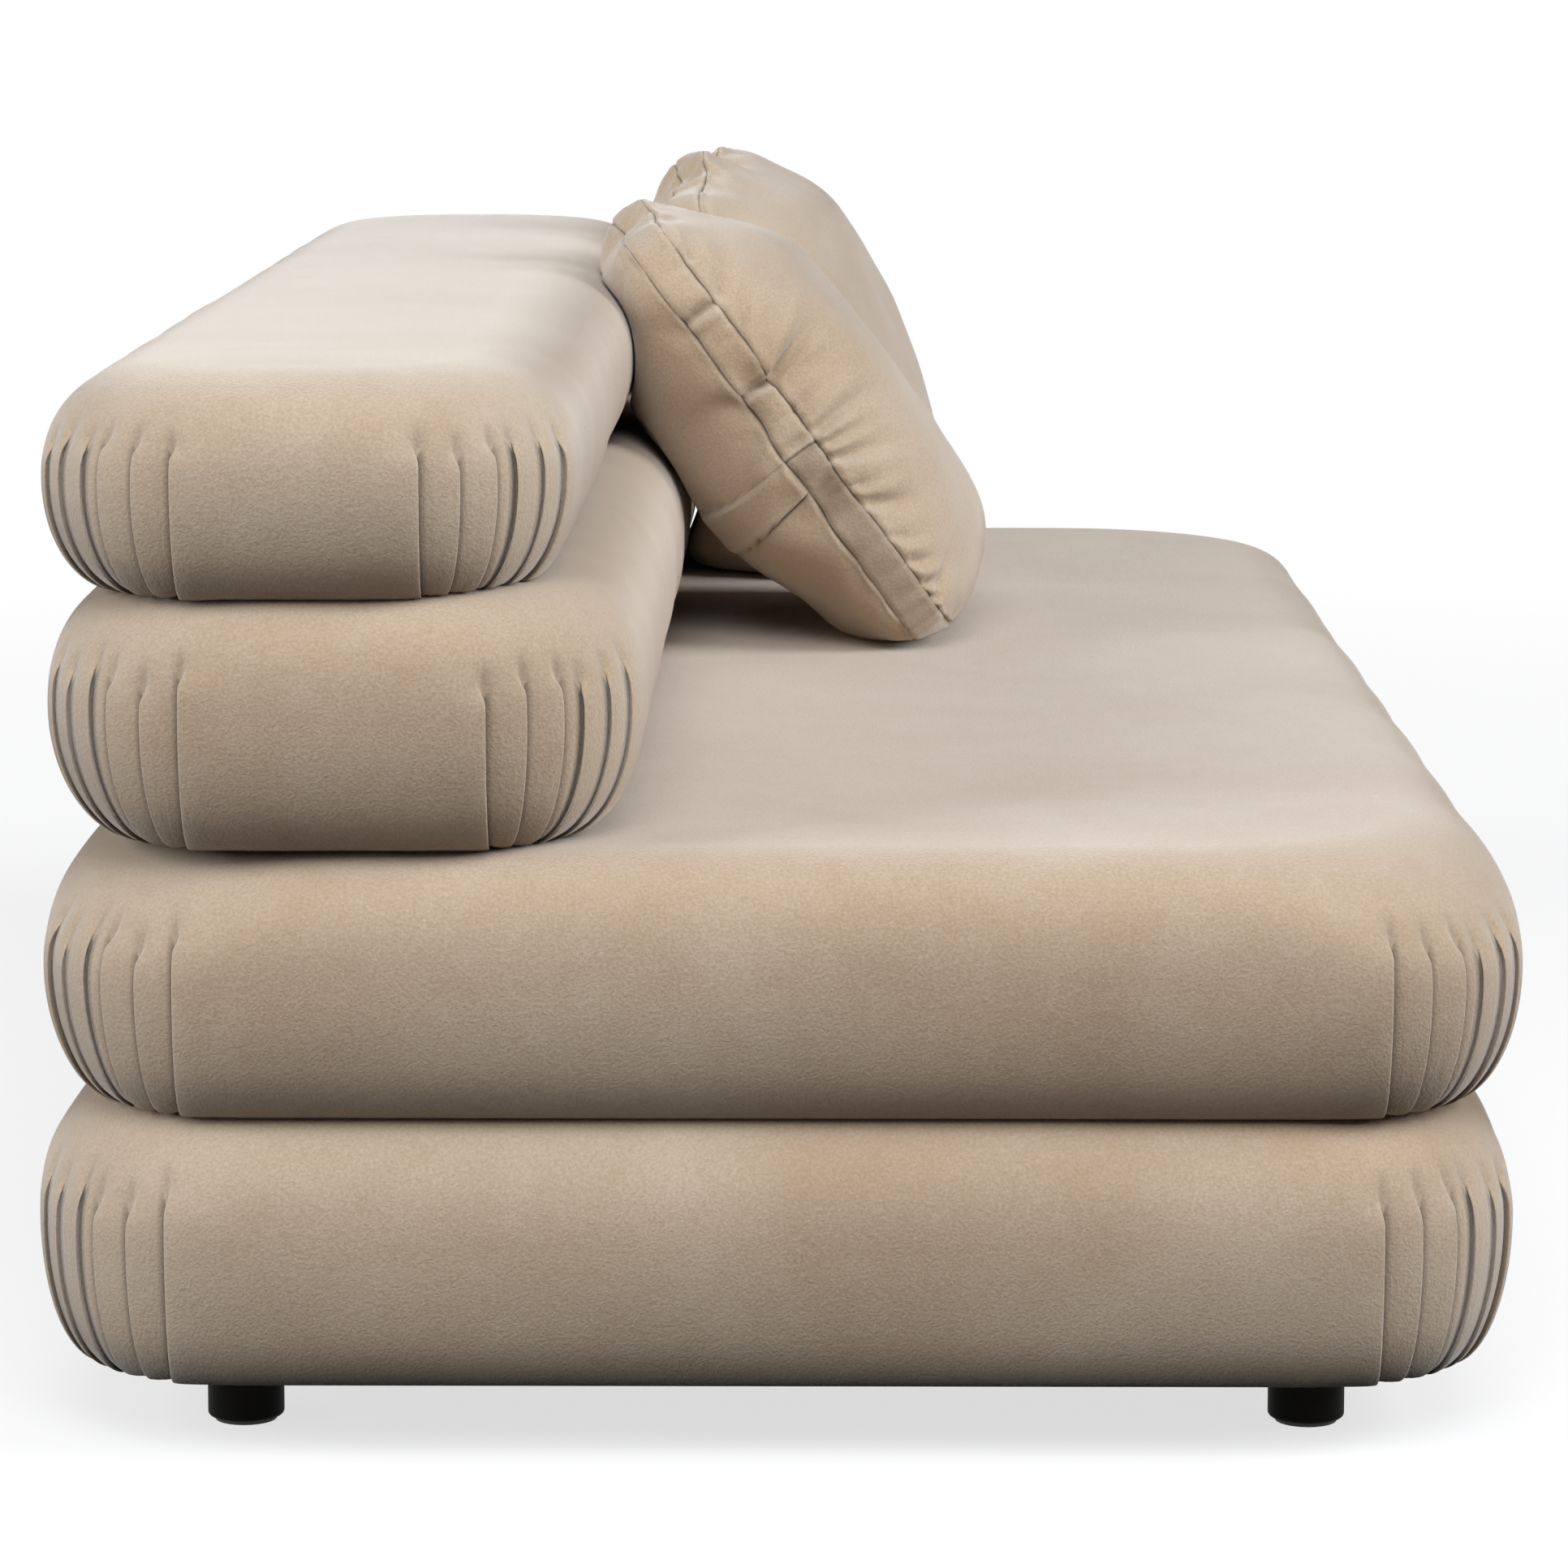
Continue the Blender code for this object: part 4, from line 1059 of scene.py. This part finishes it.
@dataclass
class LooseCushion:
    """Square scatter cushion: two panels sewn to a narrow band, blown up by its filling and leaning on the back."""

    body: Body
    seed: int
    lean: float
    turn: float
    slabs: dict[str, PleatedSlab]
    near_pulls: tuple[Pull, ...] = ()
    pinches: tuple[float, ...] = ()
    pinch_fade: float = 0.45
    pulls_per_side: int = 13
    size: float = 0.440
    thickness: float = 0.202
    band: float = 0.034
    volume: float = 0.0210
    pattern_half: float = 0.243
    corner_round: float = 0.78
    dome: float = 0.012
    quick_draw_in: float = 0.13
    cells: int = 80
    band_cells: int = 6
    fine_band: int = 14
    fine_step: float = 0.0029
    seam_step: float = 0.0006
    close_rows: int = 9
    fold_reach: float = 0.0036
    fold_margin: float = 0.0045
    sink: float = 0.006
    press: float = 0.012
    seat_clearance: float = 0.0006
    roll_clearance: float = 0.0020
    softness: float = 0.004
    fullness: float = 0.10
    top_loss: float = 0.4
    top_from: float = 0.5
    top_onset: float = 0.45
    hollow: float = 0.26
    hollow_at: float = -0.6
    hollow_width: float = 0.24
    roll: float = 0.0
    unevenness: float = 0.0009
    wave: float = 0.09
    light_passes: int = 5
    taut_passes: int = 40
    taut_from: float = 0.015
    taut_onset: float = 0.065
    placket: tuple[float, float] = (-0.12, -0.29)
    slant: float = 0.12
    flap_rise: float = 0.0026
    flap_slope: float = 0.007
    flap_step: float = 0.0011
    flap_ends: float = 0.008
    band_joint: float = 0.44
    band_pull: float = 0.9
    band_ends: float = 0.03
    low_band_shade: float = 0.28
    low_band_onset: float = 0.006

    def flat_pattern(self) -> tuple[BoxPattern, Array]:
        """The sewn cover before filling: two flat panels a band's width apart.

        With places a and b from -1 to 1, a panel point lies at a sqrt(1 - r b^2 / 2) and b sqrt(1 - r a^2 / 2) times
        the half side, which rounds the corners by the share r; the panels are domed by a few millimetres.

        Returns:
            The pattern and its points.
        """
        pattern = BoxPattern(self.cells, self.band_cells)
        place = np.linspace(-1.0, 1.0, pattern.row)
        a, b = np.meshgrid(place, place, indexing="ij")
        x = self.pattern_half * a * np.sqrt(1 - self.corner_round * b ** 2 / 2)
        z = self.pattern_half * b * np.sqrt(1 - self.corner_round * a ** 2 / 2)
        dome = self.band / 2 + self.dome * (1 - a ** 2) * (1 - b ** 2)
        front = np.stack([x, -dome, z], axis=-1)
        back = np.stack([x, dome, z], axis=-1)
        loop = front.reshape(-1, 3)[pattern.loop()]
        share = np.linspace(-1.0, 1.0, self.band_cells + 1)[1:-1, None]
        inner = np.broadcast_to(loop, (len(share), *loop.shape)).copy()
        inner[..., 1] = share * self.band / 2
        return pattern, pattern.join(front, back, inner)

    def inflate(self, pattern: BoxPattern, points: Array) -> Array:
        """Fill the sewn cover by cloth simulation: pressure inside, no gravity, seams drawn up a little.

        Args:
            pattern: Pattern that the points follow.
            points: The cover before filling.

        Returns:
            The filled cover.
        """
        scene = bpy.context.scene
        mesh = quad_mesh("cover", points, pattern.quads())
        cover = bpy.data.objects.new("cover", mesh)
        scene.collection.objects.link(cover)
        seam = cover.vertex_groups.new(name="seam")
        loop = pattern.loop()
        seam.add(np.concatenate([loop, loop + pattern.row ** 2]).tolist(), 1.0, "REPLACE")
        settings = cover.modifiers.new("filling", "CLOTH").settings
        for name, value in CLOTH.items():
            setattr(settings, name, value)
        settings.target_volume = self.volume
        settings.vertex_group_shrink = seam.name
        settings.effector_weights.gravity = 0.0
        for moment in range(1, CLOTH_FRAMES + 1):
            scene.frame_set(moment)
        filled = np.empty(points.size, dtype=np.float32)
        depsgraph = bpy.context.evaluated_depsgraph_get()
        cover.evaluated_get(depsgraph).data.vertices.foreach_get("co", filled)
        bpy.data.objects.remove(cover, do_unlink=True)
        bpy.data.meshes.remove(mesh)
        scene.frame_set(1)
        return filled.reshape(-1, 3).astype(float)

    def calm(self, pattern: BoxPattern, points: Array) -> Array:
        """Take the small crumples out: lightly all over, and fully in the middle of each panel, which is held taut.

        Each pass sets a point to the mean of its four neighbours, on a seam of itself and its two neighbours. The
        light passes count at the seams, all passes from 80 mm off them.

        Args:
            pattern: Pattern that the points follow.
            points: The filled cover.

        Returns:
            The calmer cover.
        """
        points = points.copy()
        loop = pattern.loop()
        for seam in (loop, loop + pattern.row ** 2):
            for _ in range(self.light_passes):
                line = points[seam]
                points[seam] = (np.roll(line, 1, axis=0) + 2 * line + np.roll(line, -1, axis=0)) / 4
        front, back, band = pattern.split(points)
        place = np.linspace(-1.0, 1.0, pattern.row)
        size = np.maximum(np.abs(place)[:, None], np.abs(place)[None, :])
        share = smooth_step(((1 - size) * self.pattern_half - self.taut_from) / self.taut_onset)[..., None]
        panels = []
        for taut in (front.copy(), back.copy()):
            light = taut
            for turn in range(self.taut_passes):
                taut[1:-1, 1:-1] = (taut[:-2, 1:-1] + taut[2:, 1:-1] + taut[1:-1, :-2] + taut[1:-1, 2:]) / 4
                if turn == self.light_passes - 1:
                    light = taut.copy()
            panels.append(light * (1 - share) + taut * share)
        for _ in range(self.light_passes):
            inner = band[1:-1]
            band[1:-1] = (np.roll(inner, 1, axis=1) + np.roll(inner, -1, axis=1) + band[:-2] + band[2:]) / 4
        return pattern.join(*panels, band[1:-1])

    def slump(self, points: Array) -> Array:
        """Let the filling sink: the front fills out and thins towards the top, the back thins over the foot.

        With z from -1 at the foot to 1 at the top, what stands out from the band is scaled on the front by
        1 + fullness less a loss that eases in towards the top, and on the back by 1 - hollow exp -((z - at) / width)^2.

        Args:
            points: Points round the cushion's own middle, front towards -Y.

        Returns:
            The slumped points.
        """
        slumped = points.copy()
        z = 2 * points[:, 2] / self.size
        front = self.fullness - self.top_loss * smooth_step((z - self.top_from) / self.top_onset)
        back = -self.hollow * bell(z - self.hollow_at, self.hollow_width)
        over = np.sign(points[:, 1]) * np.maximum(np.abs(points[:, 1]) - self.band / 2, 0.0)
        slumped[:, 1] += over * np.where(points[:, 1] < 0, front, back)
        return slumped

    def fine_places(self) -> Array:
        """Cell numbers across a panel: close together beside the seams and the placket, evenly spaced between.

        Returns:
            Fractional cell numbers, the same from either end.
        """
        length = 2 * self.pattern_half
        edge = np.concatenate([[0.0], np.cumsum(np.linspace(self.seam_step, self.fine_step, self.close_rows))])
        count = int(round((length - 2 * edge[-1]) / self.fine_step))
        inner = np.linspace(edge[-1], length - edge[-1], count + 1)[1:-1]
        folds = self.pattern_half * (1 + np.array(self.placket))
        folds = np.concatenate([folds, length - folds])
        close = (folds[:, None] + np.linspace(-self.fold_reach, self.fold_reach, self.close_rows)).ravel()
        apart = np.abs(inner[:, None] - folds).min(axis=1) > self.fold_margin
        return np.sort(np.concatenate([edge, inner[apart], close, length - edge])) / length * self.cells

    def refine(self, pattern: BoxPattern, points: Array) -> tuple[BoxPattern, Array, Array]:
        """Lay a finer grid over the filled cover, along cubic curves through its points.

        Args:
            pattern: Pattern of the filled cover.
            points: Its points.

        Returns:
            The finer pattern, its points, and for each point a, b, the place across the band and the zone.
        """
        front, back, band = pattern.split(points)
        places = self.fine_places()
        fine = BoxPattern(len(places) - 1, self.fine_band)
        panels = [resample(resample(grid, places).swapaxes(0, 1), places).swapaxes(0, 1) for grid in (front, back)]
        columns = np.arange(4)[:, None] * self.cells + np.arange(self.cells + 1)
        strips = [resample(band[:, side % (4 * self.cells)].swapaxes(0, 1), places)[:-1] for side in columns]
        across = np.sin(np.linspace(-math.pi / 2, math.pi / 2, self.fine_band + 1))
        strip = resample(np.concatenate(strips).swapaxes(0, 1), (across + 1) / 2 * self.band_cells)
        place = places / self.cells * 2 - 1
        a, b = np.meshgrid(place, place, indexing="ij")
        loop = fine.loop()
        inner = (self.fine_band - 1, len(loop))
        marks = [np.stack([a, b, np.full_like(a, side), np.full_like(a, side)], axis=-1)
                 for side in (Zone.FRONT, Zone.BACK)]
        ring = [np.broadcast_to(grid.ravel()[loop], inner) for grid in (a, b)]
        ring += [np.broadcast_to(across[1:-1, None], inner), np.full(inner, Zone.BAND)]
        return (fine, fine.join(*panels, strip[1:-1]),
                fine.join(*marks, np.stack(ring, axis=-1)))

    def seam_relief(self, marks: Array) -> tuple[Array, Array]:
        """Grooves and pulls at the seams, and the joint and the pinches in the band on the near side.

        Args:
            marks: a, b, place across the band and zone of each point.

        Returns:
            Height of each point, and its shade: painted shade in grooves and valleys, painted highlight on the joint
                and ridges, and the darker band below the joint.
        """
        a, b, across, zone = marks.T
        half, length = self.pattern_half, 2 * self.pattern_half
        along = np.stack([1 + b, 1 + a, 1 - b, 1 - a]) * half
        away = np.stack([1 + a, 1 - b, 1 - a, 1 + b]) * half
        on_band = zone == Zone.BAND
        height, shade = SEAM.across(np.where(on_band, (1 - np.abs(across)) * self.band / 2, away.min(axis=0)))
        pulls = {panel: scatter_pulls(self.seed + panel, self.pulls_per_side, length)
                 for panel in (Zone.FRONT, Zone.BACK)}
        if self.near_pulls:
            pulls[Zone.FRONT][0] = [replace(pull, place=pull.place * length) for pull in self.near_pulls]
        for side in range(4):
            for panel, rows in pulls.items():
                mine = zone == panel
                height[mine] += sum(pull.relief(along[side][mine], away[side][mine]) for pull in rows[side])
            mine = on_band & (away[side] < NEARLY_NIL)
            place, towards = along[side][mine], (across[mine] + 1) / 2
            ends = smooth_step(place / self.band_ends) * smooth_step((length - place) / self.band_ends)
            front, back = (sum(pull.relief(place, np.zeros_like(place)) for pull in rows[side])
                           for rows in pulls.values())
            height[mine] += self.band_pull * ends * (front * (1 - towards) + back * towards)
        near_band = on_band & (away[0] < NEARLY_NIL)
        joint = np.where(near_band, along[0] - self.band_joint * length, 1.0)
        rise, dark = BAND_JOINT.across(joint)
        height += rise
        shade += dark + self.low_band_shade * smooth_step(-joint / self.low_band_onset) * near_band
        for share in self.pinches:
            rise, dark = PINCH.across(np.where(near_band, along[0] - share * length, 1.0))
            height += rise * (1 - self.pinch_fade * across ** 2)
            shade += dark
        return height, shade

    def placket_relief(self, marks: Array) -> tuple[Array, Array]:
        """Flap over the zip on the back panel: a raised strip with a soft upper fold and a free lower edge.

        The strip climbs from the near side by the slant, because the cover has slipped round its filling.

        Args:
            marks: a, b, place across the band and zone of each point.

        Returns:
            Height and painted shade of each point, below zero a painted highlight.
        """
        a, b, _, zone = marks.T
        b = b - self.slant * (1 + a)
        below = (self.placket[0] - b) * self.pattern_half
        over = (b - self.placket[1]) * self.pattern_half
        ends = smooth_step((1 - np.abs(a)) * self.pattern_half / self.flap_ends) * (zone == Zone.BACK)
        flap = self.flap_rise * smooth_step(below / self.flap_slope) * smooth_step(over / self.flap_step + 0.5)
        edge, edge_shade = FLAP_EDGE.across(over)
        fold, fold_shade = FLAP_FOLD.across(below)
        return (flap + edge + fold) * ends, (edge_shade + fold_shade) * ends

    def settle(self, points: Array) -> Array:
        """Lean the cushion on the back and press it on to the seat.

        A surface that the cushion rests on limits its points softly: limit + s log(1 + exp((height - limit) / s)).

        Args:
            points: Points round the cushion's own middle.

        Returns:
            Points in place.
        """
        pose = Matrix.Rotation(self.turn, 3, "Z") @ Matrix.Rotation(-self.lean, 3, "X")
        pose = pose @ Matrix.Rotation(self.roll, 3, "Y")
        low, high = (np.array(corner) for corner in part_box(self.body.value + "_cover"))
        placed = points @ np.array(pose).T + (low + high) / 2 + (0.0, self.press, -self.sink)
        floor = self.slabs["seat"].bullnose.top + self.seat_clearance
        placed[:, 2] = floor + self.softness * np.logaddexp(0.0, (placed[:, 2] - floor) / self.softness)
        for roll in ("lower_back", "upper_back"):
            wall = self.slabs[roll].front_at(placed[:, 2]) - self.roll_clearance
            met = np.isfinite(wall)
            gap = (wall[met] - placed[met, 1]) / self.softness
            placed[met, 1] = wall[met] - self.softness * np.logaddexp(0.0, gap)
        return placed

    def build(self) -> bpy.types.Object:
        """Fill the cover, add its seams, pulls and placket, and set it in place.

        Returns:
            The piece.
        """
        name = self.body.value
        pattern, points = self.flat_pattern()
        points = self.calm(pattern, self.inflate(pattern, points))
        points *= np.array([self.size, self.thickness, self.size]) / np.ptp(points, axis=0)
        pattern, points, marks = self.refine(pattern, self.slump(points))
        quads = pattern.quads()
        plain = quad_mesh("plain", points, quads)
        normals = np.empty(points.size, dtype=np.float32)
        plain.vertices.foreach_get("normal", normals)
        bpy.data.meshes.remove(plain)
        seams, seam_shade = self.seam_relief(marks)
        flap, flap_shade = self.placket_relief(marks)
        rough = wander(points, self.wave, self.seed) * self.unevenness
        points = points + normals.reshape(-1, 3) * (seams + flap + rough)[:, None]
        mesh = quad_mesh(name, self.settle(points), quads, **{PAINTED_SHADE_ATTRIBUTE: seam_shade + flap_shade})
        piece = add_piece(name + "_velvet", mesh, VELVET, self.body,
                          (name + "_cover", name + "_insert", name + "_zip"))
        return piece


@dataclass(frozen=True)
class Softbox:
    """A large soft lamp, by the way it lies from the loveseat and the light it gives there."""

    name: str
    azimuth: float
    elevation: float
    level: float
    colour: str = "#F7FAFF"
    distance: float = 8.0
    size: float = 4.5
    target: tuple[float, float, float] = (-0.3, 0.0, 0.35)

    def build(self) -> None:
        """Place the lamp and aim it; its power is level x pi^2 x distance^2, the level being 1 on white paint."""
        data = bpy.data.lights.new(self.name, "AREA")
        data.shape = "SQUARE"
        data.size = self.size
        data.energy = self.level * (math.pi * self.distance) ** 2
        data.color = linear_colour(self.colour)[:3]
        flat = math.cos(self.elevation)
        heading = Vector((flat * math.cos(self.azimuth), flat * math.sin(self.azimuth), math.sin(self.elevation)))
        lamp = bpy.data.objects.new(self.name, data)
        lamp.location = Vector(self.target) + heading * self.distance
        lamp.rotation_euler = heading.to_track_quat("Z", "Y").to_euler()
        bpy.context.scene.collection.objects.link(lamp)


# The photo's light: one lamp behind the camera, and a lower one at each side that fills the pleated corners
SOFTBOXES = (
    Softbox("key_softbox", azimuth=math.radians(183), elevation=math.radians(45), level=0.74),
    Softbox("left_softbox", azimuth=math.radians(114), elevation=math.radians(24), level=0.70),
    Softbox("right_softbox", azimuth=math.radians(256), elevation=math.radians(30), level=0.88),
)


@dataclass
class Studio:
    """White floor and background, soft lamps with a little light from above, and the camera at the photo's place."""

    camera_place: tuple[float, float, float] = (-4.621, -0.0308, 1.0107)
    pitch: float = math.radians(7.179)
    yaw: float = math.radians(0.412)
    focal_pixels: float = 6881.9
    shift_y: float = -0.10
    floor_half: float = 14.0
    floor_colour: str = "#F7F6F5"
    bounce_colour: str = "#2E2721"
    floor_white: float = 0.70
    fade_start: float = 1.6
    fade_end: float = 4.0
    zenith: float = 0.16
    horizon: float = 0.04
    sky_colour: str = "#F8FAFF"

    def build(self) -> None:
        """Make the camera, the floor, the world and the lamps."""
        scene = bpy.context.scene
        scene.view_settings.view_transform = "Standard"
        self.build_camera(scene)
        self.build_floor()
        self.build_world(scene)
        for softbox in SOFTBOXES:
            softbox.build()

    def build_camera(self, scene: bpy.types.Scene) -> None:
        """Aim along +X, pitched down a little, with the photo's focal length."""
        data = bpy.data.cameras.new("photo_camera")
        data.sensor_width = SENSOR_MM
        data.lens = self.focal_pixels / PHOTO_PIXELS * SENSOR_MM
        data.shift_y = self.shift_y
        camera = bpy.data.objects.new("photo_camera", data)
        camera.location = self.camera_place
        camera.rotation_euler = Euler((math.pi / 2 - self.pitch, 0.0, self.yaw - math.pi / 2))
        scene.collection.objects.link(camera)
        scene.camera = camera

    @staticmethod
    def seen_directly(tree: bpy.types.NodeTree) -> bpy.types.NodeSocket:
        """One for rays from the camera and for those it sees in gloss or glass, else zero.

        Args:
            tree: Node tree to add to.

        Returns:
            Socket that gives the value.
        """
        path = add_node(tree, "ShaderNodeLightPath").outputs
        gloss = add_node(tree, "ShaderNodeMath", {
            0: path["Is Camera Ray"], 1: path["Is Glossy Ray"]}, operation="MAXIMUM").outputs[0]
        return add_node(tree, "ShaderNodeMath", {
            0: gloss, 1: path["Is Transmission Ray"]}, operation="MAXIMUM").outputs[0]

    def build_floor(self) -> None:
        """Pale floor that keeps a light shadow near the loveseat and turns white further off."""
        edge = np.array([-1.0, 1.0]) * self.floor_half
        x, y = np.meshgrid(edge, edge)
        points = np.stack([x.ravel(), y.ravel(), np.zeros(4)], axis=1)
        mesh = quad_mesh("studio_floor", points, np.array([[0, 1, 3, 2]]))
        material = bpy.data.materials.new("white_floor_paint")
        material.use_nodes = True
        tree = material.node_tree
        tree.nodes.remove(tree.nodes["Principled BSDF"])
        place = add_node(tree, "ShaderNodeTexCoord").outputs["Object"]
        distance = add_node(tree, "ShaderNodeVectorMath", {0: place}, operation="LENGTH").outputs["Value"]
        white = add_node(tree, "ShaderNodeMapRange", {
            "Value": distance, "From Min": self.fade_start, "From Max": self.fade_end,
            "To Min": self.floor_white, "To Max": 1.0}).outputs["Result"]
        seen = self.seen_directly(tree)
        share = add_node(tree, "ShaderNodeMath", {0: white, 1: seen}, operation="MULTIPLY").outputs[0]
        colour = add_node(tree, "ShaderNodeMix", {
            0: seen, 6: linear_colour(self.bounce_colour), 7: linear_colour(self.floor_colour)},
            data_type="RGBA").outputs[2]
        paint = add_node(tree, "ShaderNodeBsdfDiffuse", {"Color": colour})
        glow = add_node(tree, "ShaderNodeEmission", {"Color": (1.0, 1.0, 1.0, 1.0), "Strength": 1.0})
        mixed = add_node(tree, "ShaderNodeMixShader", {0: share, 1: paint.outputs[0], 2: glow.outputs[0]})
        tree.links.new(mixed.outputs[0], tree.nodes["Material Output"].inputs["Surface"])
        mesh.materials.append(material)
        floor = bpy.data.objects.new("studio_floor", mesh)
        bpy.context.scene.collection.objects.link(floor)

    def build_world(self, scene: bpy.types.Scene) -> None:
        """Soft light that fades from the zenith to the horizon, white where the camera sees it."""
        world = bpy.data.worlds.new("studio")
        world.use_nodes = True
        scene.world = world
        tree = world.node_tree
        soft = tree.nodes["Background"]
        soft.inputs["Color"].default_value = linear_colour(self.sky_colour)
        way = add_node(tree, "ShaderNodeTexCoord").outputs["Generated"]
        height = add_node(tree, "ShaderNodeSeparateXYZ", {"Vector": way}).outputs["Z"]
        level = add_node(tree, "ShaderNodeMapRange", {
            "Value": height, "To Min": self.horizon, "To Max": self.zenith}).outputs["Result"]
        tree.links.new(level, soft.inputs["Strength"])
        white = add_node(tree, "ShaderNodeBackground", {"Color": (1.0, 1.0, 1.0, 1.0), "Strength": 1.0})
        mixed = add_node(tree, "ShaderNodeMixShader", {
            0: self.seen_directly(tree), 1: soft.outputs[0], 2: white.outputs[0]})
        tree.links.new(mixed.outputs[0], tree.nodes["World Output"].inputs["Surface"])


def dress_nodes(nodes: dict[str, bpy.types.Object]) -> None:
    """Give every CAD node that stays in the scene the finish of its kind.

    Args:
        nodes: CAD nodes by name.
    """
    for finish, kinds in NODE_FINISHES.items():
        for name, node in nodes.items():
            if name.startswith(kinds):
                node.data.materials.clear()
                node.data.materials.append(finish.material())


def main() -> None:
    """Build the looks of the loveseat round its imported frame."""
    logging.basicConfig(level=logging.INFO, format="%(name)s: %(message)s")
    for item in list(bpy.data.objects):
        bpy.data.objects.remove(item, do_unlink=True)
    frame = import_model()
    Studio().build()
    base = PleatedSlab("base", seed=11, reach_above=0.110, reach_below=0.036, lift=0.014)
    lower_back = PleatedSlab("lower_back", seed=13, reach_above=0.076, reach_below=0.051, lift=0.006)
    slabs = {
        "base": base,
        "seat": PleatedSlab("seat", seed=12, reach_above=0.076, reach_below=0.045, corner_ease=0.090, carrier=base),
        "lower_back": lower_back,
        "upper_back": PleatedSlab("upper_back", seed=14, reach_above=0.090, reach_below=0.043, crown=0.0015,
                                  carrier=lower_back),
    }
    for slab in slabs.values():
        slab.build()
    for end in ("front_left", "front_right", "rear_left", "rear_right"):
        TurnedLeg(end).build()
    LooseCushion(Body.NEAR_CUSHION, seed=21, lean=math.radians(36), turn=math.radians(3.5), roll=math.radians(5.5),
                 slabs=slabs, size=0.466, fullness=0.09, press=0.018, sink=0.017, pinches=(0.84, 0.63),
                 near_pulls=NEAR_PULLS).build()
    LooseCushion(Body.FAR_CUSHION, seed=31, lean=math.radians(23), turn=math.radians(-8), roll=math.radians(-5),
                 slabs=slabs, sink=0.016, hollow=-0.80).build()
    dress_nodes(frame["nodes"])


if __name__ == "__main__":
    main()
